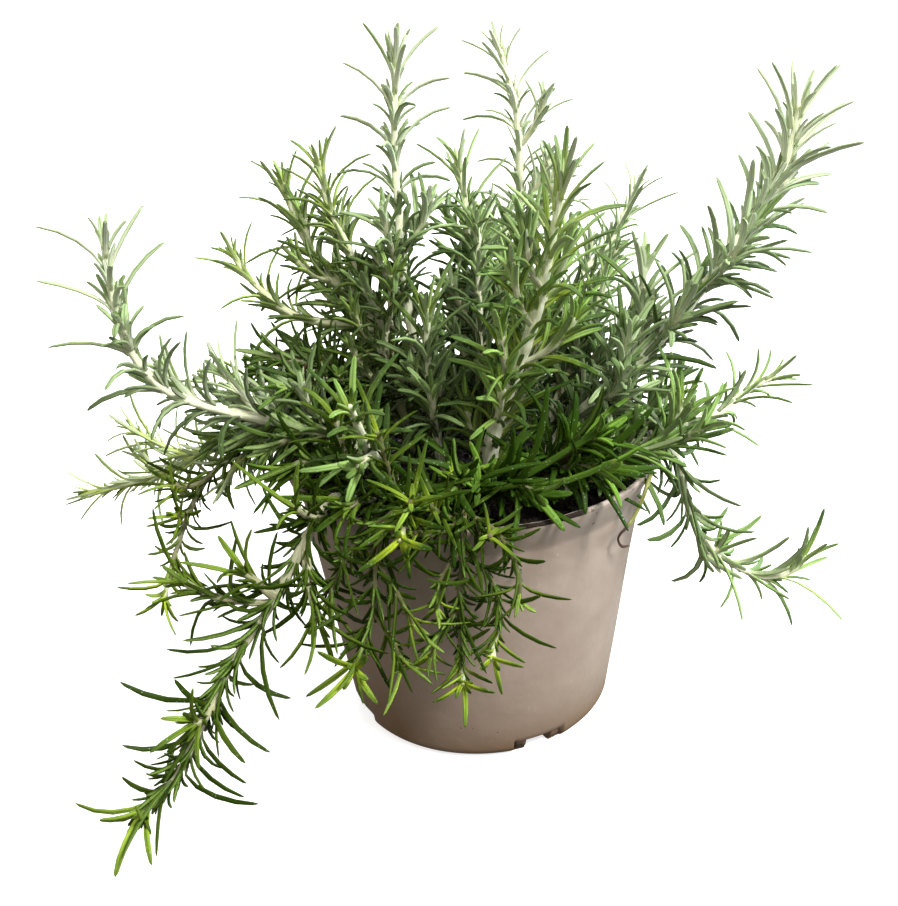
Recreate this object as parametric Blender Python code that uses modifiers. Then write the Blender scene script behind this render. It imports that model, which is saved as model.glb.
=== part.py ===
"""Potted rosemary: a tapered nursery pot, its compost, and the leafy stems rooted in it.

Metres, +Z up. The origin is the middle of the pot's underside, on the surface it stands on,
and the pot is seen from -Y in its usual view. Routes and sizes are written in millimetres
and scaled by MM.
"""
import itertools
import math
import random

import bmesh
import bpy
import numpy as np
from mathutils import Matrix, Quaternion, Vector

MM = 0.001
SEED = 11

# Clearance kept between neighbouring pieces
GAP = 0.35 * MM

# Pot: a 13 cm nursery pot, with a flared band under the lip and a raised underside
POT_HEIGHT = 100 * MM
LIP_RADIUS = 65 * MM
LIP_ROUND = 0.7 * MM
LIP_DEPTH = 2.4 * MM
BAND_HEIGHT = 12 * MM
BAND_STEP = 0.6 * MM
BODY_TOP_RADIUS = 60.1 * MM
BODY_BASE_RADIUS = 48.5 * MM
FOOT_FILLET = 5 * MM
FOOT_RING_WIDTH = 1.6 * MM
PAD_RADIUS = 20.5 * MM
PAD_SLOPE = 2.5 * MM
FLOOR_LIFT = 4.2 * MM
FLOOR_ROUND = 3 * MM
WALL = 1.25 * MM
POT_STEPS = 40

# Drainage: notches through the foot ring, and round holes in the raised floor
NOTCH_COUNT = 4
NOTCH_WIDTH = 10 * MM
NOTCH_HEIGHT = 3.5 * MM
NOTCH_FIRST_ANGLE = math.radians(-66.5)
DRAIN_HOLE_COUNT = 4
DRAIN_HOLE_RADIUS = 4 * MM
DRAIN_HOLE_CIRCLE = 33 * MM
CUTTER_MARGIN = 2 * MM

# Compost: filled to a finger's width below the lip, with a low crown
SOIL_EDGE_HEIGHT = 86.5 * MM
SOIL_EDGE_ROUND = 1.2 * MM
SOIL_CROWN = 3 * MM
SOIL_CROWN_RINGS = (0.0, 20 * MM, 40 * MM)
SOIL_STEPS = 28

# Stems: straight in their holes, then along their routes, thinning to the tip
ROOT_RADIUS = 1.7 * MM
TIP_RADIUS = 0.85 * MM
BRANCH_THINNING = 0.8
STRAIGHT_TO = 94 * MM
HOLE_DEEPER = 0.6 * MM
HOLE_SIDES = 6
CURVE_STEPS = 24
RING_TURN = math.radians(13)
RING_SPACING_MAX = 26 * MM
RING_SPACING_LAST = 4 * MM

# Needles: three-sided spindles, bowed outwards, with a narrow root and a pointed tip
NEEDLE_RADIUS = 1.15 * MM
NEEDLE_ROOT_RADIUS = 0.5 * MM
BELLY_AT = 0.6
BOW = 0.07
NEEDLE_LENGTH_YOUNG = 13 * MM
NEEDLE_LENGTH_FULL = 25 * MM
NEEDLE_LENGTH_SPREAD = 3 * MM
ANGLE_YOUNG = math.radians(26)
ANGLE_FULL = math.radians(66)

# Needles stand in opposite pairs, closer together over the young stretch at the tip
YOUNG_STRETCH = 30 * MM
FIRST_PAIR = 1.5 * MM
PAIR_SPACING_YOUNG = 4.0 * MM
PAIR_SPACING_FULL = 10.4 * MM
BARE_BELOW = 95 * MM
BARE_FOOT = 3 * MM
AROUND_SPREAD = 0.3
ANGLE_SPREAD = 0.15

# A needle that meets something is turned round its stem, then tilted, until it is clear
TURNS = (0.0, 0.35, -0.35, 0.7, -0.7, 1.05, -1.05, 1.4, -1.4)
TILTS = (0.0, 0.3, -0.3, 0.55)
NEEDLE_CLEARANCE = 0.3 * MM
FLOOR_CLEARANCE = 0.6 * MM
ROOT_SHARE = 0.3
FELLOW_SHARE = 0.8
WALL_SAMPLES = 16

# Routes of the stems, root first, in millimetres. Each stem is a list of branches:
# the first is rooted in the compost, the others start on it.
STEM_ROUTES = {
    "tall_left": [[(-9, 7, 78), (-14, 7, 112), (-19, 6, 148), (-20, 8, 176), (-20, 12, 202), (-17, 12, 236)]],
    "tall_back": [[(10, 27, 78), (16, 34, 120), (22, 42, 170), (22, 47, 205), (15, 50, 231)]],
    "mid": [[(0, 12, 78), (5, 13, 112), (6, 15, 148), (3, 20, 174), (0, 22, 198)]],
    "mid_back": [[(13, 15, 78), (14, 20, 118), (16, 27, 150), (16, 30, 177)]],
    "mid_front": [[(4, -3, 78), (4, -1, 112), (5, 3, 150), (6, 6, 181)]],
    "front_right": [[(4, -15, 78), (7, -20, 109), (13, -25, 130), (22, -33, 160), (30, -45, 209)]],
    "left": [
        [(-17, 0, 78), (-23, 0, 112), (-27, 1, 142), (-36, 6, 166), (-43, 10, 184), (-45, 10, 202)],
        [(-27, 1, 142), (-35, 4, 150), (-47, 10, 163), (-55, 17, 177), (-59, 20, 194)],
        [(-27, 1, 142), (-38, 0, 145), (-57, 7, 147), (-71, 12, 158), (-79, 15, 171)],
    ],
    "left_far": [
        [(-23, -8, 78), (-36, -9, 100), (-55, -11, 113), (-79, -15, 122), (-98, -20, 133),
         (-107, -24, 152), (-108, -25, 178), (-104, -25, 192)],
        [(-67, -13, 117), (-77, -6, 126), (-88, 0, 138)],
        [(-50, -10, 110), (-54, -15, 124), (-58, -18, 137)],
    ],
    "left_bush": [[(-28, 1, 78), (-35, 3, 104), (-43, 3, 124), (-51, 1, 138)]],
    "left_low": [
        [(-30, 11, 78), (-44, 14, 98), (-62, 17, 107), (-80, 20, 98), (-95, 23, 92), (-112, 32, 88),
         (-133, 40, 98)],
        [(-95, 23, 92), (-108, 27, 85), (-120, 30, 79), (-136, 30, 75), (-151, 30, 73)],
    ],
    "left_hang": [
        [(-37, 0, 78), (-50, 2, 100), (-63, 3, 106), (-80, 4, 101), (-97, 2, 86), (-107, -7, 66),
         (-111, -10, 54), (-113, -10, 45)],
    ],
    "trail": [
        [(-33, -26, 78), (-38, -40, 98), (-45, -50, 105), (-53, -59, 96), (-63, -65, 80), (-79, -70, 59),
         (-91, -76, 38), (-100, -80, 24), (-111, -81, 15), (-124, -82, 12)],
    ],
    "front_hang_left": [
        [(-15, -38, 78), (-21, -50, 98), (-26, -60, 105), (-31, -67, 93), (-33, -70, 76), (-37, -71, 65),
         (-43, -72, 55)],
    ],
    "front_hang": [
        [(-1, -42, 78), (-3, -52, 97), (-4, -62, 105), (-5, -68, 96), (-7, -70, 76), (-7, -72, 50)],
        [(-5, -68, 96), (3, -70, 86), (5, -71, 73), (2, -74, 60)],
    ],
    "front_bright": [[(-11, -28, 78), (-14, -42, 101), (-18, -57, 109), (-23, -73, 106)]],
    "front_small": [[(-25, -31, 78), (-29, -42, 98), (-35, -53, 106), (-42, -63, 107)]],
    "front_left_up": [[(-22, -19, 78), (-28, -28, 102), (-34, -36, 118), (-37, -50, 139)]],
    "centre_up": [[(-9, -10, 78), (-11, -11, 104), (-13, -12, 132), (-12, -15, 158)]],
    "right_big": [
        [(18, -5, 78), (33, -8, 106), (54, -12, 129), (75, -8, 151), (90, -4, 170), (102, -1, 188),
         (106, 0, 204), (107, 0, 218)],
    ],
    "right_back": [[(21, 24, 78), (28, 31, 112), (42, 42, 142), (57, 50, 157), (68, 55, 178)]],
    "right_low": [
        [(31, 3, 78), (44, 1, 99), (60, -1, 106), (73, 0, 103), (86, 3, 104), (99, 8, 111), (113, 10, 117)],
    ],
    "right_fork": [[(24, -19, 78), (36, -25, 97), (50, -28, 104), (61, -26, 107), (67, -25, 115), (70, -25, 126)]],
    "right_hang": [
        [(36, -12, 78), (48, -16, 99), (60, -18, 105), (69, -19, 98), (73, -19, 82), (79, -18, 67),
         (90, -18, 56), (101, -18, 50), (111, -20, 53), (120, -20, 66)],
    ],
    "right_mid": [[(23, 7, 78), (30, 10, 106), (42, 20, 126), (49, 28, 141), (54, 31, 153)]],
    "right_bush": [[(30, 15, 78), (41, 13, 110), (52, 15, 129), (63, 20, 144)]],
    "right_front": [[(15, -26, 78), (22, -31, 100), (34, -36, 117)]],
    "front_mass": [[(4, -29, 78), (3, -38, 98), (3, -50, 112)]],
    "back_up": [[(0, 33, 78), (2, 46, 110), (6, 58, 138), (8, 66, 160)]],
    "back_left": [[(-17, 24, 78), (-27, 38, 108), (-38, 50, 130), (-46, 60, 150)]],
    "back_hang": [[(-10, 40, 78), (-14, 53, 98), (-17, 63, 106), (-19, 73, 96), (-20, 81, 72), (-18, 88, 50)]],
    "back_right": [[(15, 41, 78), (22, 53, 99), (30, 62, 108), (42, 72, 110), (54, 80, 120)]],
}

POT_COLOUR = (0.40, 0.31, 0.25)
SOIL_COLOUR = (0.02, 0.016, 0.013)
LEAF_COLOUR = (0.09, 0.19, 0.05)
LEAF_COLOUR_PALE = (0.27, 0.34, 0.20)


def make_material(name, colour, roughness):
    """A Principled material of one colour."""
    material = bpy.data.materials.new(name)
    material.use_nodes = True
    shader = material.node_tree.nodes["Principled BSDF"]
    shader.inputs["Base Color"].default_value = (*colour, 1.0)
    shader.inputs["Roughness"].default_value = roughness
    shader.inputs["Metallic"].default_value = 0.0
    return material


def clear_scene():
    for item in list(bpy.data.objects):
        bpy.data.objects.remove(item, do_unlink=True)


def new_collection(name):
    collection = bpy.data.collections.new(name)
    bpy.context.scene.collection.children.link(collection)
    return collection


def add_object(name, data, collection):
    item = bpy.data.objects.new(name, data)
    collection.objects.link(item)
    return item


def evaluated_mesh(item):
    """The object's mesh with its modifiers applied."""
    depsgraph = bpy.context.evaluated_depsgraph_get()
    return bpy.data.meshes.new_from_object(item.evaluated_get(depsgraph))


# Pot


def pot_outer_profile():
    """The pot's outside, from the lip's top down to the middle of its underside."""
    band_foot = POT_HEIGHT - BAND_HEIGHT
    fillet_centre = BODY_BASE_RADIUS - FOOT_FILLET
    fillet = []
    for degrees in (0, 42, 90):
        angle = math.radians(degrees)
        radius = fillet_centre + FOOT_FILLET * math.cos(angle)
        fillet.append((radius, FOOT_FILLET - FOOT_FILLET * math.sin(angle)))
    ring_inner = fillet_centre - FOOT_RING_WIDTH
    return [
        (LIP_RADIUS - LIP_ROUND, POT_HEIGHT),
        (LIP_RADIUS, POT_HEIGHT - LIP_ROUND),
        (LIP_RADIUS - LIP_ROUND / 2, POT_HEIGHT - LIP_DEPTH),
        (BODY_TOP_RADIUS + BAND_STEP, band_foot + BAND_STEP),
        (BODY_TOP_RADIUS, band_foot - BAND_STEP),
        *fillet,
        (ring_inner, 0.0),
        (ring_inner - LIP_ROUND, FLOOR_LIFT),
        (PAD_RADIUS + PAD_SLOPE, FLOOR_LIFT),
        (PAD_RADIUS, 0.0),
        (0.0, 0.0),
    ]


def pot_inner_profile():
    """The pot's inside, from the middle of its floor up to the lip's top."""
    band_foot = POT_HEIGHT - BAND_HEIGHT
    floor_top = FLOOR_LIFT + WALL
    return [
        (0.0, WALL),
        (PAD_RADIUS - BAND_STEP, WALL),
        (PAD_RADIUS + PAD_SLOPE - BAND_STEP, floor_top),
        (BODY_BASE_RADIUS - WALL - FLOOR_ROUND, floor_top),
        (BODY_BASE_RADIUS - WALL, floor_top + FLOOR_ROUND),
        (BODY_TOP_RADIUS - WALL, band_foot - BAND_STEP),
        (BODY_TOP_RADIUS + BAND_STEP - WALL, band_foot + BAND_STEP),
        (LIP_RADIUS - LIP_ROUND - WALL, POT_HEIGHT - LIP_ROUND),
        (LIP_RADIUS - 2 * LIP_ROUND, POT_HEIGHT),
    ]


def turned_object(name, profile, steps, collection, is_loop):
    """A profile of (radius, height) points, turned about the Z axis by a Screw modifier.

    The profile runs down the outside. No edge is made between two points on the axis.
    """
    points = [(radius, 0.0, height) for radius, height in profile]
    pairs = [(i, i + 1) for i in range(len(points) - 1)]
    if is_loop:
        pairs.append((len(points) - 1, 0))
    edges = [(i, j) for i, j in pairs if points[i][0] > 0 or points[j][0] > 0]
    mesh = bpy.data.meshes.new(name)
    mesh.from_pydata(points, edges, [])
    item = add_object(name, mesh, collection)
    screw = item.modifiers.new("turn", "SCREW")
    screw.axis = "Z"
    screw.steps = steps
    screw.render_steps = steps
    screw.use_merge_vertices = True
    screw.merge_threshold = 0.00001
    screw.use_smooth_shade = True
    return item


def add_cutter(name, shape, cutters):
    """Make the bmesh a hidden cutter object."""
    mesh = bpy.data.meshes.new(name)
    shape.to_mesh(mesh)
    shape.free()
    cutter = add_object(name, mesh, cutters)
    cutter.hide_render = True
    cutter.display_type = "WIRE"
    return cutter


def make_foot_cutter(cutters):
    """Boxes that notch the foot ring, and drills for the floor's drain holes, in one cutter."""
    outside = BODY_BASE_RADIUS + CUTTER_MARGIN
    inside = BODY_BASE_RADIUS - FOOT_FILLET - FOOT_RING_WIDTH - CUTTER_MARGIN
    box_height = NOTCH_HEIGHT + CUTTER_MARGIN
    box_size = Matrix.Diagonal((outside - inside, NOTCH_WIDTH, box_height, 1.0))
    box_place = Matrix.Translation(((outside + inside) / 2, 0, NOTCH_HEIGHT - box_height / 2))
    hole_place = Matrix.Translation((DRAIN_HOLE_CIRCLE, 0, FLOOR_LIFT + WALL / 2))
    shape = bmesh.new()
    for index in range(NOTCH_COUNT):
        angle = NOTCH_FIRST_ANGLE + index * math.tau / NOTCH_COUNT
        turn = Matrix.Rotation(angle, 4, "Z")
        bmesh.ops.create_cube(shape, size=1.0, matrix=turn @ box_place @ box_size)
    for index in range(DRAIN_HOLE_COUNT):
        angle = NOTCH_FIRST_ANGLE + (index + 0.5) * math.tau / DRAIN_HOLE_COUNT
        turn = Matrix.Rotation(angle, 4, "Z")
        bmesh.ops.create_cone(
            shape, cap_ends=True, segments=12, radius1=DRAIN_HOLE_RADIUS, radius2=DRAIN_HOLE_RADIUS,
            depth=WALL + CUTTER_MARGIN, matrix=turn @ hole_place)
    return add_cutter("foot_cutter", shape, cutters)


def cut(item, cutter):
    """Take the cutter's solids out of the item."""
    boolean = item.modifiers.new("cut_" + cutter.name, "BOOLEAN")
    boolean.operation = "DIFFERENCE"
    boolean.solver = "EXACT"
    boolean.object = cutter


def make_pot(parts, cutters):
    profile = pot_outer_profile() + pot_inner_profile()
    pot = turned_object("pot", profile, POT_STEPS, parts, is_loop=True)
    cut(pot, make_foot_cutter(cutters))
    pot.data.materials.append(make_material("pot_plastic", POT_COLOUR, 0.5))


# Compost


def soil_height(radius):
    """Height of the compost's surface: an even crown that falls to the pot's wall."""
    edge_radius = BODY_TOP_RADIUS - WALL - GAP
    return SOIL_EDGE_HEIGHT + SOIL_CROWN * (1 - min(radius / edge_radius, 1.0) ** 2)


def make_soil(parts):
    """The compost fills the pot's inside, one gap clear of it."""
    pad, slope, floor, low, high = pot_inner_profile()[1:6]
    share = (SOIL_EDGE_HEIGHT - low[1]) / (high[1] - low[1])
    edge_radius = low[0] + (high[0] - low[0]) * share - GAP
    crown = [(radius, soil_height(radius)) for radius in SOIL_CROWN_RINGS]
    edge = [
        (edge_radius - SOIL_EDGE_ROUND, SOIL_EDGE_HEIGHT),
        (edge_radius - GAP, SOIL_EDGE_HEIGHT - SOIL_EDGE_ROUND),
        (low[0] - GAP, low[1] + GAP),
    ]
    underside = [(radius - GAP, height + GAP) for radius, height in (floor, slope, pad)]
    profile = [*crown, *edge, *underside, (0.0, WALL + GAP)]
    soil = turned_object("soil", profile, SOIL_STEPS, parts, is_loop=False)
    soil.data.materials.append(make_material("compost", SOIL_COLOUR, 0.95))
    return soil


def make_stem_holes(stems, cutters):
    """One cutter that drills a plain hole round each stem's straight root."""
    shape = bmesh.new()
    for stem in stems:
        points, radii = stem["branches"][0]
        start, end = Vector(points[0]), Vector(points[1])
        axis = (end - start).normalized()
        start = start - axis * HOLE_DEEPER
        turn = axis.to_track_quat("Z", "Y").to_matrix().to_4x4()
        place = Matrix.Translation((start + end) / 2) @ turn
        radius = (radii[0] + GAP) / math.cos(math.pi / HOLE_SIDES)
        bmesh.ops.create_cone(
            shape, cap_ends=True, segments=HOLE_SIDES, radius1=radius, radius2=radius,
            depth=(end - start).length, matrix=place)
    return add_cutter("stem_holes", shape, cutters)


# Stems


def smooth_route(controls):
    """Catmull-Rom curve through the control points, as many short steps, in metres."""
    points = np.array(controls, float) * MM
    first = 2 * points[0] - points[1]
    last = 2 * points[-1] - points[-2]
    padded = np.vstack([first, points, last])
    fractions = np.linspace(0.0, 1.0, CURVE_STEPS, endpoint=False)[:, None]
    curve = []
    for before, start, end, after in zip(padded, padded[1:], padded[2:], padded[3:]):
        curve.append(0.5 * (
            2 * start
            + (end - before) * fractions
            + (2 * before - 5 * start + 4 * end - after) * fractions ** 2
            + (3 * start - before - 3 * end + after) * fractions ** 3))
    curve.append(points[-1:])
    return np.vstack(curve)


def ring_points(curve, straight_to):
    """Thin a smooth curve: a point where it has turned enough, or run far enough, since the last."""
    kept = [0]
    if straight_to is not None:
        kept.append(int(np.argmax(curve[:, 2] > straight_to)))
    heading = None
    for index in range(kept[-1] + 1, len(curve)):
        step = curve[index] - curve[index - 1]
        step = step / np.linalg.norm(step)
        if heading is None:
            heading = step
        turned = math.acos(max(-1.0, min(1.0, float(step @ heading))))
        run = np.linalg.norm(curve[index] - curve[kept[-1]])
        if turned > RING_TURN or run > RING_SPACING_MAX:
            kept.append(index)
            heading = step
    end = len(curve) - 1
    if np.linalg.norm(curve[end] - curve[kept[-1]]) < RING_SPACING_LAST and len(kept) > 2:
        kept.pop()
    kept.append(end)
    return curve[kept]


def nearest_on(points, target):
    """The point of a polyline that lies nearest to the target."""
    best = None
    for start, end in zip(points[:-1], points[1:]):
        along = end - start
        share = np.clip((target - start) @ along / (along @ along), 0.0, 1.0)
        place = start + along * share
        distance = np.linalg.norm(place - target)
        if best is None or distance < best[0]:
            best = (distance, place)
    return best[1]


def run_lengths(points):
    """Distance along a polyline at each of its points."""
    steps = np.linalg.norm(np.diff(points, axis=0), axis=1)
    return np.concatenate([[0.0], np.cumsum(steps)])


def plan_stem(name, routes):
    """A stem's branches as (points, radii), the first rooted and the others started on it."""
    branches = []
    for index, controls in enumerate(routes):
        curve = smooth_route(controls)
        points = ring_points(curve, STRAIGHT_TO if index == 0 else None)
        thick = ROOT_RADIUS
        if index > 0:
            points[0] = nearest_on(branches[0][0], points[0])
            thick = ROOT_RADIUS * BRANCH_THINNING
        runs = run_lengths(points)
        radii = thick + (TIP_RADIUS - thick) * runs / runs[-1]
        branches.append((points, radii))
    return {"name": "stem_" + name, "branches": branches}


def tube_mesh(name, points, radii):
    """A square tube, as a rosemary twig is, along the points, as a mesh whose caps are welded on."""
    curve = bpy.data.curves.new(name, "CURVE")
    curve.dimensions = "3D"
    curve.bevel_depth = ROOT_RADIUS
    curve.bevel_resolution = 0
    curve.use_fill_caps = True
    spline = curve.splines.new("POLY")
    spline.points.add(len(points) - 1)
    for knot, place, radius in zip(spline.points, points, radii):
        knot.co = (*place, 1.0)
        knot.radius = radius / ROOT_RADIUS
    holder = add_object(name + "_curve", curve, bpy.context.scene.collection)
    bpy.context.view_layer.update()
    mesh = evaluated_mesh(holder)
    bpy.data.objects.remove(holder, do_unlink=True)
    bpy.data.curves.remove(curve)
    shape = bmesh.new()
    shape.from_mesh(mesh)
    bmesh.ops.remove_doubles(shape, verts=shape.verts, dist=0.00001)
    bmesh.ops.recalc_face_normals(shape, faces=shape.faces)
    shape.to_mesh(mesh)
    shape.free()
    return mesh


# Needles


def segment_gaps(start, end, starts, ends):
    """Shortest distance from one segment to each of many others."""
    own = end - start
    others = ends - starts
    between = start - starts
    own_square = own @ own
    other_squares = np.einsum("ij,ij->i", others, others)
    dots = others @ own
    own_offsets = between @ own
    other_offsets = np.einsum("ij,ij->i", others, between)
    spread = np.maximum(own_square * other_squares - dots ** 2, 1e-18)
    shares = np.clip((dots * other_offsets - own_offsets * other_squares) / spread, 0, 1)
    other_shares = np.clip((dots * shares + other_offsets) / other_squares, 0, 1)
    shares = np.clip((dots * other_shares - own_offsets) / own_square, 0, 1)
    apart = between + shares[:, None] * own - other_shares[:, None] * others
    return np.linalg.norm(apart, axis=1)


def pot_outline():
    """Half section of the pot and its compost as one filled shape: (radius, height) points."""
    inner_top = [point for point in pot_inner_profile() if point[1] > SOIL_EDGE_HEIGHT]
    wall_at_soil = BODY_TOP_RADIUS - WALL
    surface = [(radius, soil_height(radius)) for radius in SOIL_CROWN_RINGS]
    outline = [*surface, (wall_at_soil, SOIL_EDGE_HEIGHT), *inner_top, *pot_outer_profile()]
    return np.array(outline)


class ClearSpace:
    """Remembers what is placed, and tells whether a needle fits clear of it."""

    def __init__(self, stems):
        outline = pot_outline()
        self.edge_starts = outline[:-1]
        self.edges = outline[1:] - outline[:-1]
        self.edge_squares = np.maximum(np.einsum("ij,ij->i", self.edges, self.edges), 1e-18)
        self.starts, self.ends, self.radii, self.owners = [], [], [], []
        for owner, stem in enumerate(stems):
            for points, radii in stem["branches"]:
                for index in range(len(points) - 1):
                    self.remember(owner, points[index], points[index + 1], radii[index])

    def remember(self, owner, start, end, radius):
        self.starts.append(start)
        self.ends.append(end)
        self.radii.append(radius)
        self.owners.append(owner)

    def clear_of_pot(self, start, end, room):
        """Sample the segment and measure from each sample to the pot's half section."""
        shares = np.linspace(0.0, 1.0, WALL_SAMPLES)[:, None]
        samples = start + (end - start) * shares
        if samples[:, 2].min() < FLOOR_CLEARANCE + NEEDLE_RADIUS:
            return False
        flat = np.column_stack([np.hypot(samples[:, 0], samples[:, 1]), samples[:, 2]])
        offsets = flat[:, None, :] - self.edge_starts[None]
        along = np.clip(np.einsum("ijk,jk->ij", offsets, self.edges) / self.edge_squares, 0, 1)
        apart = offsets - along[:, :, None] * self.edges[None]
        return np.sqrt((apart ** 2).sum(axis=2)).min() > room

    def fits(self, owner, route):
        """Whether a needle clears the pot, the other nodes, and its own node past its root."""
        root, belly, tip = route
        starts, ends = np.array(self.starts), np.array(self.ends)
        radii, others = np.array(self.radii), np.array(self.owners) != owner
        for start, end in ((root, belly), (belly, tip)):
            if not self.clear_of_pot(start, end, NEEDLE_RADIUS + NEEDLE_CLEARANCE):
                return False
            gaps = segment_gaps(start, end, starts[others], ends[others])
            if np.any(gaps < radii[others] + NEEDLE_RADIUS + NEEDLE_CLEARANCE):
                return False
            outer = root + (belly - root) * ROOT_SHARE if start is root else start
            gaps = segment_gaps(outer, end, starts[~others], ends[~others])
            if np.any(gaps < FELLOW_SHARE * (radii[~others] + NEEDLE_RADIUS)):
                return False
        return True


def place_on(points, runs, distance):
    """Point and heading of a polyline at a distance along it."""
    index = int(np.clip(np.searchsorted(runs, distance) - 1, 0, len(points) - 2))
    along = points[index + 1] - points[index]
    share = (distance - runs[index]) / (runs[index + 1] - runs[index])
    return points[index] + along * share, along / np.linalg.norm(along)


def needle_sites(stems, draw):
    """Opposite pairs up every branch, each turned a quarter from the last, closer at the tip."""
    sites = []
    for owner, stem in enumerate(stems):
        for points, radii in stem["branches"]:
            runs = run_lengths(points)
            from_tip = FIRST_PAIR
            quarter = draw.uniform(0, math.tau)
            while from_tip < runs[-1] - BARE_FOOT:
                place, heading = place_on(points, runs, runs[-1] - from_tip)
                age = min(from_tip / YOUNG_STRETCH, 1.0)
                if place[2] > BARE_BELOW or np.hypot(place[0], place[1]) > LIP_RADIUS:
                    for side in (0.0, math.pi):
                        around = quarter + side + draw.uniform(-AROUND_SPREAD, AROUND_SPREAD)
                        sites.append({
                            "owner": owner, "place": place, "heading": heading, "age": age,
                            "from_tip": from_tip, "around": around, "order": draw.random()})
                quarter += math.pi / 2
                from_tip += PAIR_SPACING_YOUNG + (PAIR_SPACING_FULL - PAIR_SPACING_YOUNG) * age
    return sorted(sites, key=lambda site: (round(site["from_tip"] / YOUNG_STRETCH), site["order"]))


def needle_route(site, around, angle, length):
    """Root, belly and tip of a needle that leaves the stem at an angle and bows away from it."""
    heading = Vector(site["heading"])
    side = Quaternion(heading, around) @ heading.orthogonal().normalized()
    direction = heading * math.cos(angle) + side * math.sin(angle)
    bowed = heading * math.sin(angle) - side * math.cos(angle)
    root = site["place"]
    tip = root + np.array(direction) * length
    belly = root + np.array(direction) * length * BELLY_AT + np.array(bowed) * length * BOW
    return root, belly, tip


def grow_needles(stems, draw):
    """Try each site, the tips first, turning the needle a little further until it fits."""
    space = ClearSpace(stems)
    needles = [[] for stem in stems]
    for site in needle_sites(stems, draw):
        age = site["age"]
        owner = site["owner"]
        length = NEEDLE_LENGTH_YOUNG + (NEEDLE_LENGTH_FULL - NEEDLE_LENGTH_YOUNG) * age
        length += draw.uniform(-NEEDLE_LENGTH_SPREAD, NEEDLE_LENGTH_SPREAD)
        angle = ANGLE_YOUNG + (ANGLE_FULL - ANGLE_YOUNG) * age
        angle += draw.uniform(-ANGLE_SPREAD, ANGLE_SPREAD)
        for tilt, turn in itertools.product(TILTS, TURNS):
            root, belly, tip = needle_route(site, site["around"] + turn, angle + tilt, length)
            if space.fits(owner, (root, belly, tip)):
                space.remember(owner, root + (belly - root) * ROOT_SHARE, belly, NEEDLE_RADIUS)
                space.remember(owner, belly, tip, NEEDLE_RADIUS)
                needles[owner].append((root, belly, tip))
                break
    return needles


def needle_object(name, route, collection):
    """A three-sided spindle along the route: a cone, cut round at its belly and widened there."""
    root, belly, tip = (Vector(point) for point in route)
    axis = tip - root
    turn = axis.to_track_quat("Z", "Y").to_matrix()
    bend = turn.transposed() @ (belly - root)
    shape = bmesh.new()
    bmesh.ops.create_cone(
        shape, cap_ends=True, cap_tris=True, segments=3, radius1=NEEDLE_ROOT_RADIUS, radius2=0.0,
        depth=axis.length, matrix=Matrix.Translation((0, 0, axis.length / 2)))
    everything = list(shape.verts) + list(shape.edges) + list(shape.faces)
    cut_geometry = bmesh.ops.bisect_plane(
        shape, geom=everything, plane_co=(0, 0, bend.z), plane_no=(0, 0, 1))["geom_cut"]
    for vert in (part for part in cut_geometry if isinstance(part, bmesh.types.BMVert)):
        outward = Vector((vert.co.x, vert.co.y, 0)).normalized()
        vert.co = bend + outward * NEEDLE_RADIUS
    bmesh.ops.transform(shape, matrix=Matrix.Translation(root) @ turn.to_4x4(), verts=shape.verts)
    mesh = bpy.data.meshes.new(name)
    shape.to_mesh(mesh)
    shape.free()
    return add_object(name, mesh, collection)


def keep_largest_body(mesh):
    """Fill any hollow that the union sealed, and drop loose scraps: only the largest body stays."""
    shape = bmesh.new()
    shape.from_mesh(mesh)
    unseen = set(shape.verts)
    bodies = []
    while unseen:
        frontier = [unseen.pop()]
        body = list(frontier)
        while frontier:
            vert = frontier.pop()
            for edge in vert.link_edges:
                other = edge.other_vert(vert)
                if other in unseen:
                    unseen.remove(other)
                    body.append(other)
                    frontier.append(other)
        bodies.append(body)
    bodies.sort(key=len)
    for body in bodies[:-1]:
        bmesh.ops.delete(shape, geom=body, context="VERTS")
    shape.to_mesh(mesh)
    shape.free()


def fuse(item, operands):
    """Join the operands' solids to the item's own by one Boolean union, applied."""
    union = item.modifiers.new("union", "BOOLEAN")
    union.operation = "UNION"
    union.operand_type = "COLLECTION"
    union.collection = operands
    union.solver = "EXACT"
    bpy.context.view_layer.update()
    fused = evaluated_mesh(item)
    item.modifiers.clear()
    item.data = fused
    for operand in list(operands.objects):
        bpy.data.objects.remove(operand, do_unlink=True)
    bpy.data.collections.remove(operands)
    keep_largest_body(fused)


def make_stem(stem, needles, parts):
    """One leafy stem: its tube, any side branches and its needles, fused into one solid."""
    name = stem["name"]
    operands = new_collection(name + "_pieces")
    points, radii = stem["branches"][0]
    item = add_object(name, tube_mesh(name, points, radii), parts)
    for index, (points, radii) in enumerate(stem["branches"][1:]):
        side_name = f"{name}_side_{index}"
        add_object(side_name, tube_mesh(side_name, points, radii), operands)
    for index, route in enumerate(needles):
        needle_object(f"{name}_needle_{index}", route, operands)
    fuse(item, operands)
    colour = LEAF_COLOUR_PALE if "back" in stem["name"] else LEAF_COLOUR
    item.data.materials.clear()
    item.data.materials.append(make_material(name + "_leaf", colour, 0.5))


def build():
    clear_scene()
    draw = random.Random(SEED)
    parts = new_collection("potted_rosemary")
    cutters = new_collection("cutters")
    make_pot(parts, cutters)
    stems = [plan_stem(name, routes) for name, routes in STEM_ROUTES.items()]
    soil = make_soil(parts)
    cut(soil, make_stem_holes(stems, cutters))
    for stem, needles in zip(stems, grow_needles(stems, draw)):
        make_stem(stem, needles, parts)


build()
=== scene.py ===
import math

import bpy
import numpy as np
from mathutils import Matrix


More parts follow.
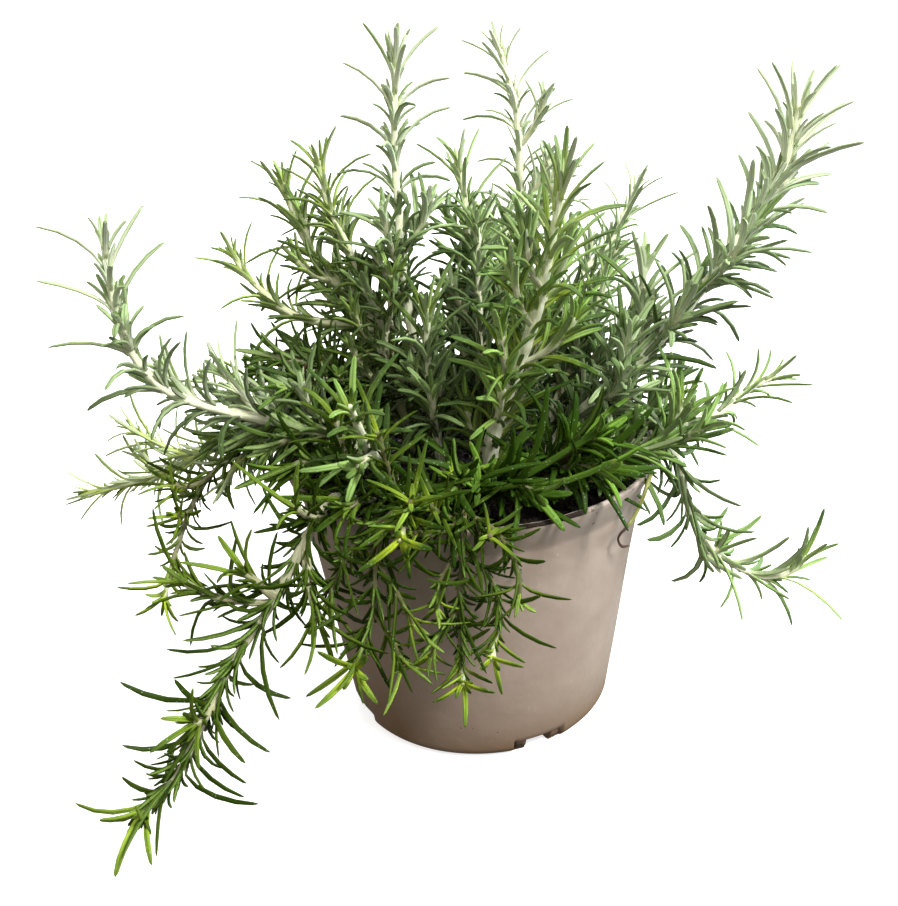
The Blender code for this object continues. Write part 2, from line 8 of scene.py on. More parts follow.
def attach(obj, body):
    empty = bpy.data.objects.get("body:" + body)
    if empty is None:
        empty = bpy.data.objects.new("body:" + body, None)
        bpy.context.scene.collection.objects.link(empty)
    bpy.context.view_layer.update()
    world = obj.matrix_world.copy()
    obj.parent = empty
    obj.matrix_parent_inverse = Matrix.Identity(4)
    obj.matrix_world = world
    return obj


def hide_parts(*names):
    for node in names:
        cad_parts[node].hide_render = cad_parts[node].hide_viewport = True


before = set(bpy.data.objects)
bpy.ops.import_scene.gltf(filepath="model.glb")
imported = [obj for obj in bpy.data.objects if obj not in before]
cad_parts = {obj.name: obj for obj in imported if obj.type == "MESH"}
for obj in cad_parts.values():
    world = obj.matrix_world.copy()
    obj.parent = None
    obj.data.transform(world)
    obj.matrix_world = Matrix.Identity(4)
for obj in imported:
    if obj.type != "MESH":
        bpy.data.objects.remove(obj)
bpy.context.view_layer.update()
print("frame loaded")

mm = 0.001


def putObject(name, data, right, up, back, place):
    # a camera or a lamp looks down its own third axis, away from back
    piece = bpy.data.objects.new(name, data)
    bpy.context.scene.collection.objects.link(piece)
    axes = np.eye(4)
    axes[:3] = np.column_stack([right, up, back, place])
    piece.matrix_world = Matrix(axes.tolist())
    return piece


# Camera: the photograph's viewing angle, looking down at the pot from the front

cameraValues = {
    "target": (-7.6 * mm, 0.0, 96.1 * mm),
    "distance": 400 * mm,
    "elevation": math.radians(24.75),
    "roll": math.radians(-2.94),
    "focalPixels": 1135.4,
    "frameHeight": 906,
    "sensor": 36.0,
}


def placeCamera(values):
    # forward looks down by the elevation; right and up are then rolled about it
    forward = np.array([0.0, math.cos(values["elevation"]), -math.sin(values["elevation"])])
    level = np.array([1.0, 0.0, 0.0])
    lifted = np.cross(level, forward)
    right = level * math.cos(values["roll"]) + lifted * math.sin(values["roll"])
    up = lifted * math.cos(values["roll"]) - level * math.sin(values["roll"])
    data = bpy.data.cameras.new("camera")
    data.sensor_fit = "VERTICAL"
    data.sensor_height = values["sensor"]
    data.lens = values["focalPixels"] * values["sensor"] / values["frameHeight"]
    data.clip_start = 0.01
    place = np.array(values["target"]) - forward * values["distance"]
    bpy.context.scene.camera = putObject("camera", data, right, up, -forward, place)


placeCamera(cameraValues)
bpy.context.scene.view_settings.view_transform = "Standard"
print("camera placed")


# Nodes, in a few short calls


def addNode(tree, kind, sockets=None, **settings):
    # sockets maps an input's name or number to a value, or to another node's output
    node = tree.nodes.new("ShaderNode" + kind)
    for key, value in settings.items():
        setattr(node, key, value)
    for key, value in (sockets or {}).items():
        if isinstance(value, bpy.types.NodeSocket):
            tree.links.new(value, node.inputs[key])
        else:
            node.inputs[key].default_value = value
    return node


def calc(tree, operation, first, second=0.0, third=0.0):
    sockets = {0: first, 1: second, 2: third}
    return addNode(tree, "Math", sockets, operation=operation).outputs[0]


def product(tree, first, second):
    return calc(tree, "MULTIPLY", first, second)


def line(tree, value, slope, start):
    # slope * value + start
    return calc(tree, "MULTIPLY_ADD", value, slope, start)


def axesOf(tree, vector):
    # the three numbers of a vector
    return addNode(tree, "SeparateXYZ", {0: vector}).outputs


def farFrom(tree, place, point):
    return addNode(tree, "VectorMath", {0: place, 1: point}, operation="DISTANCE").outputs["Value"]


def blendColour(tree, share, first, second, mode="MIX"):
    first = first if isinstance(first, bpy.types.NodeSocket) else (*first, 1.0)
    second = second if isinstance(second, bpy.types.NodeSocket) else (*second, 1.0)
    node = addNode(tree, "Mix", {0: share, 6: first, 7: second}, data_type="RGBA", blend_type=mode)
    return node.outputs[2]


def overlay(tree, colour, layers):
    # each layer is its share and its tint, laid over those before it
    for share, tint in layers:
        colour = blendColour(tree, share, colour, tint)
    return colour


def step(tree, value, low, high, bottom=0.0, top=1.0):
    # smooth step from bottom to top as the value goes from low to high
    sockets = {"Value": value, "From Min": low, "From Max": high, "To Min": bottom, "To Max": top}
    return addNode(tree, "MapRange", sockets, interpolation_type="SMOOTHSTEP").outputs["Result"]


def noise(tree, place, scale, detail=3.0, roughness=0.55, distortion=0.0):
    sockets = {"Vector": place, "Scale": scale, "Detail": detail, "Roughness": roughness,
               "Distortion": distortion}
    return addNode(tree, "TexNoise", sockets).outputs["Fac"]


def objectPlace(tree, stretch=(1.0, 1.0, 1.0)):
    coordinates = addNode(tree, "TexCoord")
    return addNode(tree, "Mapping", {"Vector": coordinates.outputs["Object"], "Scale": stretch}).outputs[0]


def surfacePlace(tree, stretch=(1.0, 1.0, 1.0)):
    flat = addNode(tree, "UVMap", uv_map="surface")
    return addNode(tree, "Mapping", {"Vector": flat.outputs["UV"], "Scale": stretch}).outputs[0]


def attribute(tree, name):
    return addNode(tree, "Attribute", attribute_name=name, attribute_type="GEOMETRY").outputs["Fac"]


def newMaterial(name, fixed):
    # fixed sets the shader's own sockets
    material = bpy.data.materials.new(name)
    material.use_nodes = True
    shader = material.node_tree.nodes["Principled BSDF"]
    for key, value in fixed.items():
        shader.inputs[key].default_value = value
    return material, material.node_tree, shader


def setLooks(tree, shader, colour, roughness=None):
    tree.links.new(colour, shader.inputs["Base Color"])
    if roughness is not None:
        tree.links.new(roughness, shader.inputs["Roughness"])


def bump(tree, shader, height, distance, strength=1.0, under=None):
    sockets = {"Height": height, "Distance": distance, "Strength": strength}
    if under is not None:
        sockets["Normal"] = under
    normal = addNode(tree, "Bump", sockets).outputs["Normal"]
    tree.links.new(normal, shader.inputs["Normal"])
    return normal


# Meshes, from whole arrays


def ringFaces(rows, columns):
    # quads of a grid whose columns close into rings, and each corner's share along both ways
    row, column = np.meshgrid(np.arange(rows - 1), np.arange(columns), indexing="ij")
    cornerRow = np.stack([row, row, row + 1, row + 1], axis=-1).reshape(-1, 4)
    cornerColumn = np.stack([column, column + 1, column + 1, column], axis=-1).reshape(-1, 4)
    quads = cornerRow * columns + cornerColumn % columns
    shares = np.stack([cornerColumn / columns, cornerRow / (rows - 1)], axis=-1)
    return quads, shares


def endCaps(rows, columns):
    # one face over each end of the grid
    first = np.arange(columns)
    return np.array([first[::-1], first + (rows - 1) * columns])


def repeatFaces(rows, columns, count):
    # the faces of several copies of one closed grid, whose points follow one another
    quads, shares = ringFaces(rows, columns)
    offsets = np.arange(count)[:, None, None] * rows * columns
    caps = endCaps(rows, columns)
    quads, caps = (quads + offsets).reshape(-1, 4), (caps + offsets).reshape(-1, columns)
    return quads, caps, np.tile(shares, (count, 1, 1))


def putMesh(name, points, quads, caps, shares, values, material, isSmooth=True, capShares=None):
    # quads and caps are index arrays; shares has a (u, v) per quad corner and capShares one per cap; values
    # holds a number per point
    if capShares is None:
        capShares = np.zeros((len(caps), 2))
    corners = np.concatenate([quads.ravel(), caps.ravel()])
    capStarts = quads.size + np.arange(len(caps)) * caps.shape[1]
    starts = np.concatenate([np.arange(len(quads)) * 4, capStarts])
    mesh = bpy.data.meshes.new(name)
    mesh.vertices.add(points.size // 3)
    mesh.vertices.foreach_set("co", points.astype(np.float32).ravel())
    mesh.loops.add(len(corners))
    mesh.loops.foreach_set("vertex_index", corners.astype(np.int32))
    mesh.polygons.add(len(starts))
    mesh.polygons.foreach_set("loop_start", starts.astype(np.int32))
    mesh.polygons.foreach_set("use_smooth", np.full(len(starts), isSmooth))
    mesh.update(calc_edges=True)
    flat = np.concatenate([shares.reshape(-1, 2), np.repeat(capShares, caps.shape[1], axis=0)])
    mesh.uv_layers.new(name="surface").data.foreach_set("uv", flat.astype(np.float32).ravel())
    for key, numbers in values.items():
        layer = mesh.attributes.new(key, "FLOAT", "POINT")
        layer.data.foreach_set("value", numbers.astype(np.float32).ravel())
    mesh.materials.append(material)
    piece = bpy.data.objects.new(name, mesh)
    bpy.context.scene.collection.objects.link(piece)
    return piece


def putTube(name, points, material):
    # points is (rows, columns, 3): rings that follow one another, closed at both ends
    rows, columns = points.shape[:2]
    quads, shares = ringFaces(rows, columns)
    return putMesh(name, points, quads, endCaps(rows, columns), shares, {}, material)


def unit(vectors):
    return vectors / np.maximum(np.linalg.norm(vectors, axis=-1, keepdims=True), 1e-12)


def ramp(value, start, reach):
    # 0 up to the start, then evenly to 1 over the reach; a negative reach runs the other way
    return np.clip((value - start) / reach, 0, 1)


def between(pair, share):
    return pair[0] + (pair[1] - pair[0]) * share


def onCircle(angle, radius=1.0):
    return radius * np.stack([np.cos(angle), np.sin(angle)], -1)


def softNoise(places, cell, seed):
    # value noise: random numbers on a lattice, eased from corner to corner. places is (..., 2 or 3)
    draw = np.random.default_rng(seed)
    table = draw.random(4096)
    at = places / cell
    low = np.floor(at).astype(int)
    share = at - low
    share = share * share * (3 - 2 * share)
    primes = np.array([73856093, 19349663, 83492791])[:places.shape[-1]]
    total = 0.0
    for corner in np.ndindex(*(2,) * places.shape[-1]):
        weight = np.prod(np.where(np.array(corner) == 1, share, 1 - share), axis=-1)
        key = ((low + np.array(corner)) * primes).sum(axis=-1)
        total = total + weight * table[np.abs(key) % 4096]
    return total * 2 - 1


# Pot: a turned profile with a wavy lip, soft dents, foot notches and drain holes

potValues = {
    "segments": 288,
    "bodyTop": (60.1 * mm, 87.4 * mm),
    "bodyBase": 48.5 * mm,
    "fillet": 5 * mm,
    "floorLift": 4.2 * mm,
    "padRadius": 20.5 * mm,
    "wall": 1.25 * mm,
    "notchAngle": math.radians(-66.5),
    "notchWidth": 10 * mm,
    "notchHeight": 5.0 * mm,
    "recessWidth": 20 * mm,
    "recessDepth": 1.3 * mm,
    "recessHeight": 6.0 * mm,
    "slotWidth": 1.3 * mm,
    "holeRadius": 4 * mm,
    "holeCircle": 33 * mm,
    "lipWave": 0.28 * mm,
    "outOfRound": 0.35 * mm,
    "unevenness": 0.12 * mm,
    "bandWave": 0.1 * mm,
    "nook": (11.8 * mm, -46.4 * mm, 1.6 * mm),
}


def polyline(corners, spacing):
    # straight runs between corners, each cut into even steps
    points = []
    for start, end in zip(corners[:-1], corners[1:]):
        start, end = np.array(start), np.array(end)
        count = max(1, int(round(np.linalg.norm(end - start) / spacing)))
        points.append(start + (end - start) * np.linspace(0, 1, count, endpoint=False)[:, None])
    points.append(np.array([corners[-1]]))
    return np.vstack(points)


def arc(centre, radius, first, last, count):
    # points round a centre from the first angle to the last, in degrees
    return (np.array(centre) + onCircle(np.radians(np.linspace(first, last, count)), radius)).tolist()


def inMillimetres(*points):
    return (np.array(points) * mm).tolist()


def potProfile(values):
    # (radius, height) from the middle of the underside, out, up, over the lip and down the inside
    topRadius, topHeight = values["bodyTop"]
    wall, lift, fillet, pad = (values[key] for key in ("wall", "floorLift", "fillet", "padRadius"))
    underside = [(1 * mm, 0.0), (pad - 0.4 * mm, 0.0), (pad, 0.15 * mm), (pad + 2.2 * mm, lift - 0.2 * mm),
                 (pad + 2.6 * mm, lift), (40.8 * mm, lift), (41.3 * mm, lift - 0.3 * mm),
                 (41.8 * mm, 0.2 * mm), (42.1 * mm, 0.0)]
    foot = arc((values["bodyBase"] - fillet, fillet), fillet, -90, 0, 9)
    wallRun = [(topRadius - 0.05 * mm, topHeight - 0.5 * mm), (topRadius, topHeight)]
    band = inMillimetres((60.3, 88.2), (60.75, 89.4), (61.5, 91.0), (62.6, 93.2), (63.7, 95.6), (64.35, 97.1),
                         (64.75, 98.2))
    lip = arc((64.25 * mm, 99.25 * mm), 0.75 * mm, -20, 90, 7)
    lip += arc((63.9 * mm, 99.4 * mm), 0.6 * mm, 90, 180, 5)
    inside = inMillimetres((62.95, 98.0), (61.3, 93.6), (59.45, 88.6), (58.85, 87.4), (47.25, 8.45))
    inside += arc((values["bodyBase"] - wall - 3 * mm, lift + wall + 3 * mm), 3 * mm, 0, -90, 6)
    inside += [(22.4 * mm, lift + wall), (19.9 * mm, wall), (1 * mm, wall)]
    return polyline(underside + foot + wallRun + band + lip + inside, 1.6 * mm)


def potAngles(values):
    # even steps, with a close pair of angles at each edge of a notch, recess or slot
    even = np.linspace(0, math.tau, values["segments"], endpoint=False)
    half = np.array([values["notchWidth"] / 2, values["recessWidth"] / 2 - values["slotWidth"],
                     values["recessWidth"] / 2])
    reach = half / values["bodyBase"]
    edges = np.concatenate([reach - 0.0012, reach + 0.0012, -reach - 0.0012, -reach + 0.0012])
    corners = values["notchAngle"] + np.arange(4)[:, None] * math.pi / 2 + edges[None]
    angles = np.sort(np.concatenate([even, corners.ravel() % math.tau]))
    return angles[np.concatenate([[True], np.diff(angles) > 0.0009])]


def nearAngle(angles, centre, halfWidth):
    # the way round between two angles, never more than half a turn, against the half width
    apart = np.abs((angles - centre + math.pi) % math.tau - math.pi)
    return apart < halfWidth


def shapePot(values):
    # radius and height of every profile point at every angle, then dents, waves and notches
    profile = potProfile(values)
    angle, radius = np.meshgrid(potAngles(values), profile[:, 0])
    height = np.broadcast_to(profile[:, 1:], angle.shape)
    perLength = 1 / values["bodyBase"]
    for quarter in range(4):
        centre = values["notchAngle"] + quarter * math.pi / 2
        inNotch = nearAngle(angle, centre, values["notchWidth"] / 2 * perLength)
        inRecess = nearAngle(angle, centre, values["recessWidth"] / 2 * perLength)
        plainWidth = values["recessWidth"] / 2 - values["slotWidth"]
        inSlot = inRecess & ~nearAngle(angle, centre, plainWidth * perLength)
        isFoot = (radius > 41.0 * mm) & (height < values["notchHeight"])
        isOutside = (radius > 45.5 * mm) & (height < values["recessHeight"])
        inside = radius - values["recessDepth"] * (1 + 0.7 * inSlot)
        radius = np.where(inRecess & isOutside, inside, radius)
        height = np.where(isFoot & inNotch, values["notchHeight"], height)
    upper = ramp(height, 84 * mm, 16 * mm) ** 1.5
    round4 = onCircle(angle)
    isWall = radius > 45 * mm
    wave = softNoise(round4, 0.16, 5) * 0.6 + softNoise(round4, 0.06, 6) * 0.4
    height = height + values["lipWave"] * wave * ramp(height, 96 * mm, 4 * mm)
    radius = radius + values["outOfRound"] * softNoise(round4, 0.9, 7) * ramp(height, 0, 100 * mm) * isWall
    small = softNoise(np.concatenate([round4, height[..., None] * 14], -1), 0.35, 8)
    radius = radius + values["unevenness"] * small * isWall
    for direction, level, reach, tall, depth in potDents:
        apart = (angle - math.radians(direction) + math.pi) % math.tau - math.pi
        dent = np.exp(-(apart * 60 * mm / reach) ** 2 - ((height - level) / tall) ** 2)
        radius = radius - depth * dent * isWall
    radius = radius + values["bandWave"] * upper * softNoise(round4, 0.05, 9)
    return np.concatenate([radius[..., None] * round4, height[..., None]], -1)


# dents: direction in degrees, height, reach round the wall, reach up it, depth
potDents = [
    (-48, 80 * mm, 7 * mm, 5 * mm, 0.55 * mm),
    (-42, 84 * mm, 4 * mm, 2.5 * mm, -0.3 * mm),
    (-82, 76 * mm, 9 * mm, 4 * mm, 0.4 * mm),
    (-81, 93 * mm, 3 * mm, 4 * mm, 0.5 * mm),
    (-20, 60 * mm, 14 * mm, 18 * mm, 0.35 * mm),
    (-120, 50 * mm, 12 * mm, 20 * mm, 0.4 * mm),
    (60, 55 * mm, 16 * mm, 18 * mm, 0.4 * mm),
    (150, 70 * mm, 12 * mm, 9 * mm, 0.5 * mm),
]


# small marks: place, size, colour
potSpots = [
    ((36.6 * mm, -50.6 * mm, 92.4 * mm), 0.7 * mm, (0.030, 0.018, 0.012)),
    ((31.5 * mm, -53.9 * mm, 92.4 * mm), 0.35 * mm, (0.50, 0.42, 0.35)),
    ((24.9 * mm, -54.1 * mm, 84.0 * mm), 0.4 * mm, (0.50, 0.42, 0.35)),
    ((37.0 * mm, -30.0 * mm, 16.0 * mm), 0.6 * mm, (0.075, 0.045, 0.03)),
]


def potMaterial():
    # taupe plastic, mottled and scuffed, with grime, a stain of soil water that is partly painted shade, a
    # band painted
    # lighter as painted light, painted shade with soil in the foot's recess, and soil and small marks on it
    material, tree, shader = newMaterial("potPlastic", {"Specular IOR Level": 0.38})
    place = objectPlace(tree)
    x, y, z = axesOf(tree, place)
    broad = noise(tree, place, 38.0, 4.0, 0.6)
    scuff = noise(tree, objectPlace(tree, (1.0, 1.0, 0.28)), 620.0, 3.0, 0.7)
    film = noise(tree, place, 95.0, 5.0, 0.7, 0.4)
    grime = calc(tree, "MAXIMUM", step(tree, z, 0.084, 0.098), step(tree, z, 0.022, 0.002))
    grime = product(tree, step(tree, film, 0.5, 0.72), grime)
    # stain and painted shade: at the foot all round and higher up at the left, fading as exp(-height)
    leftward = step(tree, calc(tree, "SUBTRACT", x, y), 0.060, 0.004)
    foot = calc(tree, "EXPONENT", product(tree, z, -62.0))
    side = calc(tree, "EXPONENT", product(tree, z, -17.0))
    stainAndShade = calc(tree, "MAXIMUM", foot, product(tree, leftward, side))
    # painted shade with dirt: dark round the nook in the foot's recess, left of the notch
    nook = calc(tree, "ADD", farFrom(tree, place, potValues["nook"]), product(tree, film, 0.0025))
    # soil in the lip: along a third of the front, where the radius is outside the lip's pale inner edge
    around = calc(tree, "ARCTAN2", y, x)
    squares = calc(tree, "ADD", calc(tree, "POWER", x, 2.0), calc(tree, "POWER", y, 2.0))
    radius = calc(tree, "SQRT", squares)
    level = calc(tree, "ADD", z, product(tree, film, 0.0018))
    onLip = product(tree, step(tree, level, 0.0994, 0.0998), step(tree, radius, 0.0636, 0.0640))
    span = product(tree, step(tree, around, -1.455, -1.435), step(tree, around, -1.00, -1.06))
    colour = blendColour(tree, step(tree, broad, 0.35, 0.68), (0.330, 0.258, 0.211), (0.371, 0.295, 0.244))
    colour = overlay(tree, colour, [
        (step(tree, scuff, 0.60, 0.78, 0.0, 0.35), (0.52, 0.44, 0.375)),
        (product(tree, grime, 0.3), (0.23, 0.155, 0.105)),
        # painted light: the flared band is lighter, against the shade it gets from facing down
        (product(tree, step(tree, z, 0.086, 0.094), 0.5), (0.44, 0.36, 0.305)),    # the flared band
        # painted shade with the stain: darker and browner toward the bottom and the left
        (product(tree, stainAndShade, step(tree, broad, 0.25, 0.75, 0.85, 1.0)), (0.094, 0.040, 0.0)),
        # painted shade with dirt in the recess's nook
        (step(tree, nook, 0.0048, 0.0030, 0.0, 0.85), (0.030, 0.018, 0.012)),
        (product(tree, onLip, span), (0.012, 0.006, 0.003)),
        (product(tree, step(tree, scuff, 0.58, 0.66), product(tree, onLip, 0.75)), (0.050, 0.028, 0.016)),
    ])
    for spot, size, tint in potSpots:
        apart = calc(tree, "ADD", farFrom(tree, place, spot), product(tree, film, size * 0.8))
        colour = blendColour(tree, step(tree, apart, size * 1.5, size, 0.0, 0.8), colour, tint)
    specks = addNode(tree, "TexVoronoi", {"Vector": place, "Scale": 240.0, "Randomness": 1.0})
    isSpeck = step(tree, specks.outputs["Distance"], 0.10, 0.05)
    rare = step(tree, axesOf(tree, specks.outputs["Color"])["X"], 0.90, 0.92)
    colour = blendColour(tree, product(tree, isSpeck, rare), colour, (0.11, 0.07, 0.045))
    dull = calc(tree, "MAXIMUM", step(tree, film, 0.3, 0.7, 0.42, 0.62), product(tree, onLip, 0.95))
    setLooks(tree, shader, colour, dull)
    grain = noise(tree, place, 1500.0, 2.0, 0.5)
    ripple = noise(tree, place, 130.0, 2.0, 0.5)
    first = bump(tree, shader, ripple, 0.0006, 0.5)
    bump(tree, shader, grain, 0.00006, 0.5, first)
    return material


def drillHoles(piece, values):
    # drain holes: four plain drills through the floor, taken out and applied
    sides = 24
    turn = values["notchAngle"] + (np.arange(4) + 0.5) * math.pi / 2
    rim = onCircle(np.linspace(0, math.tau, sides, endpoint=False), values["holeRadius"])
    points = np.zeros((4, 2, sides, 3))
    points[..., :2] = onCircle(turn, values["holeCircle"])[:, None, None] + rim
    points[:, 0, :, 2], points[:, 1, :, 2] = 2 * mm, 8 * mm
    cutter = putMesh("drills", points, *repeatFaces(2, sides, 4), {}, piece.data.materials[0], isSmooth=False)
    holes = piece.modifiers.new("holes", "BOOLEAN")
    holes.operation = "DIFFERENCE"
    holes.solver = "EXACT"
    holes.object = cutter
    bpy.context.view_layer.update()
    graph = bpy.context.evaluated_depsgraph_get()
    drilled = bpy.data.meshes.new_from_object(piece.evaluated_get(graph))
    piece.modifiers.clear()
    piece.data = drilled
    bpy.data.objects.remove(cutter)


def makePot(values):
    # the profile's rings closed into a shell, then drilled
    piece = putTube("nursery_pot", shapePot(values), potMaterial())
    drillHoles(piece, values)
    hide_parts("pot")
    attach(piece, "root")


makePot(potValues)
print("pot made")


# Compost: a crowned, crumbly surface that fills the pot, with loose bits on it

soilValues = {
    "edgeHeight": 86.5 * mm,
    "edgeRadius": 58.3 * mm,
    "crown": 3 * mm,
    "edgeDrop": 1.2 * mm,
    "rings": 110,
    "segments": 220,
    "lumps": 1.1 * mm,
    "grains": 0.55 * mm,
    "bits": 620,
    "pearls": 46,
    "seed": 21,
}


def soilLevel(radius, values):
    # an even crown that falls to the wall
    return values["edgeHeight"] + values["crown"] * (1 - np.minimum(radius / values["edgeRadius"], 1) ** 2)


def soilSurface(places, values):
    # the crown with lumps and grains on it; places is (..., 2)
    radius = np.hypot(places[..., 0], places[..., 1])
    lumps = softNoise(places, 7 * mm, 31) + 0.5 * softNoise(places, 3.1 * mm, 32)
    grains = softNoise(places, 1.3 * mm, 33) + 0.7 * softNoise(places, 0.7 * mm, 34)
    return soilLevel(radius, values) + values["lumps"] * lumps + values["grains"] * grains


def compostMaterial():
    # near black crumbs, with browner patches and a few light fibres
    material, tree, shader = newMaterial("compostCrumb", {"Specular IOR Level": 0.25})
    place = objectPlace(tree)
    crumb = noise(tree, place, 420.0, 6.0, 0.72)
    patch = noise(tree, place, 90.0, 3.0, 0.6)
    colour = blendColour(tree, step(tree, crumb, 0.38, 0.66), (0.004, 0.0034, 0.003), (0.016, 0.012, 0.009))
    colour = blendColour(tree, step(tree, patch, 0.5, 0.75, 0.0, 0.5), colour, (0.026, 0.018, 0.012))
    fibre = noise(tree, objectPlace(tree, (1.0, 0.16, 1.0)), 900.0, 3.0, 0.6)
    colour = blendColour(tree, step(tree, fibre, 0.66, 0.74, 0.0, 0.7), colour, (0.12, 0.075, 0.04))
    setLooks(tree, shader, colour, step(tree, crumb, 0.3, 0.7, 0.75, 0.97))
    bump(tree, shader, crumb, 0.0012, 0.9)
    return material


def makeSoil(values):
    # rows run from the middle of the bottom, up the side and in over the top
    low = inMillimetres((1, 1.8), (19.6, 1.8), (22.2, 6.0), (43.9, 6.0), (46.8, 8.9), (58.2, 84.5))
    side = polyline(low, 4 * mm)
    inward = np.linspace(values["edgeRadius"], 0.6 * mm, values["rings"])
    radii = np.concatenate([side[:, 0], inward])
    angle = np.linspace(0, math.tau, values["segments"], endpoint=False)
    places = radii[:, None, None] * onCircle(angle)[None]
    height = np.repeat(np.concatenate([side[:, 1], np.zeros(len(inward))])[:, None], len(angle), axis=1)
    height[len(side):] = soilSurface(places[len(side):], values)
    height[len(side)] -= values["edgeDrop"]
    points = np.concatenate([places, height[..., None]], -1)
    piece = putTube("compost_body", points, compostMaterial())
    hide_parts("soil")
    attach(piece, "root")


def turnAbout(angle, steady):
    # rotation matrices about the steady axis, one for each angle
    turn = np.zeros((len(angle), 3, 3))
    first, second = (axis for axis in range(3) if axis != steady)
    turn[:, steady, steady] = 1
    turn[:, first, first] = turn[:, second, second] = np.cos(angle)
    turn[:, first, second] = -np.sin(angle)
    turn[:, second, first] = np.sin(angle)
    return turn


def boulders(centres, sizes, stretch, draw):
    # each bit is a small ball of 4 rings of 6 points, its radius jittered, stretched and turned
    rings, around = 4, 6
    latitude = np.linspace(-0.72, 0.72, rings) * math.pi / 2
    longitude = np.arange(around) * math.tau / around
    flat = np.cos(latitude)[:, None, None] * onCircle(longitude)
    lift = np.repeat(np.sin(latitude)[:, None, None], around, axis=1)
    ball = np.concatenate([flat, lift], -1).reshape(-1, 3)
    count = len(centres)
    shape = ball[None] * (1 + draw.uniform(-0.28, 0.28, (count, rings * around, 1)))
    shape = shape * stretch[:, None, :] * sizes[:, None, None]
    spin, tip = draw.uniform(0, math.tau, (2, count))
    points = np.einsum("nij,njk,npk->npi", turnAbout(spin, 2), turnAbout(tip, 0), shape)
    return (points + centres[:, None, :], *repeatFaces(rings, around, count))


def bitMaterial(name, dark, light, scale):
    # each bit has its own tone between dark and light, with a light grain
    material, tree, shader = newMaterial(name, {"Specular IOR Level": 0.3})
    grain = noise(tree, objectPlace(tree), scale, 4.0, 0.65)
    colour = blendColour(tree, attribute(tree, "tone"), dark, light)
    colour = blendColour(tree, step(tree, grain, 0.35, 0.7, 0.0, 0.6), colour, light)
    setLooks(tree, shader, colour, step(tree, grain, 0.3, 0.7, 0.65, 0.95))
    bump(tree, shader, grain, 0.0004, 0.8)
    return material


def scatterBits(values):
    draw = np.random.default_rng(values["seed"])
    kinds = (
        ("compost_bits", values["bits"], 0.9 * mm, 0.9 * mm, (1.5, 0.85, 0.6),
         bitMaterial("barkBit", (0.007, 0.005, 0.004), (0.034, 0.022, 0.014), 900.0)),
        ("perlite_bits", values["pearls"], 0.7 * mm, 0.6 * mm, (1.1, 1.0, 0.85),
         bitMaterial("perliteBit", (0.45, 0.43, 0.38), (0.66, 0.65, 0.60), 1500.0)),
    )
    for name, count, small, spread, stretch, material in kinds:
        radius = np.sqrt(draw.random(count)) * (values["edgeRadius"] - 1.6 * mm)
        turn = draw.uniform(0, math.tau, count)
        places = radius[:, None] * onCircle(turn)
        sizes = small + spread * draw.random(count) ** 3
        stretches = np.array(stretch) * draw.uniform(0.7, 1.3, (count, 3))
        lift = soilSurface(places, values) + sizes * 0.15
        centres = np.concatenate([places, lift[:, None]], -1)
        points, quads, caps, shares = boulders(centres, sizes, stretches, draw)
        tone = np.repeat(draw.random(count), len(points[0]))
        piece = putMesh(name, points, quads, caps, shares, {"tone": tone}, material)
        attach(piece, "root")


makeSoil(soilValues)
scatterBits(soilValues)
print("compost made")


# Twigs and needles: every stem's route, and how its leaves are to look

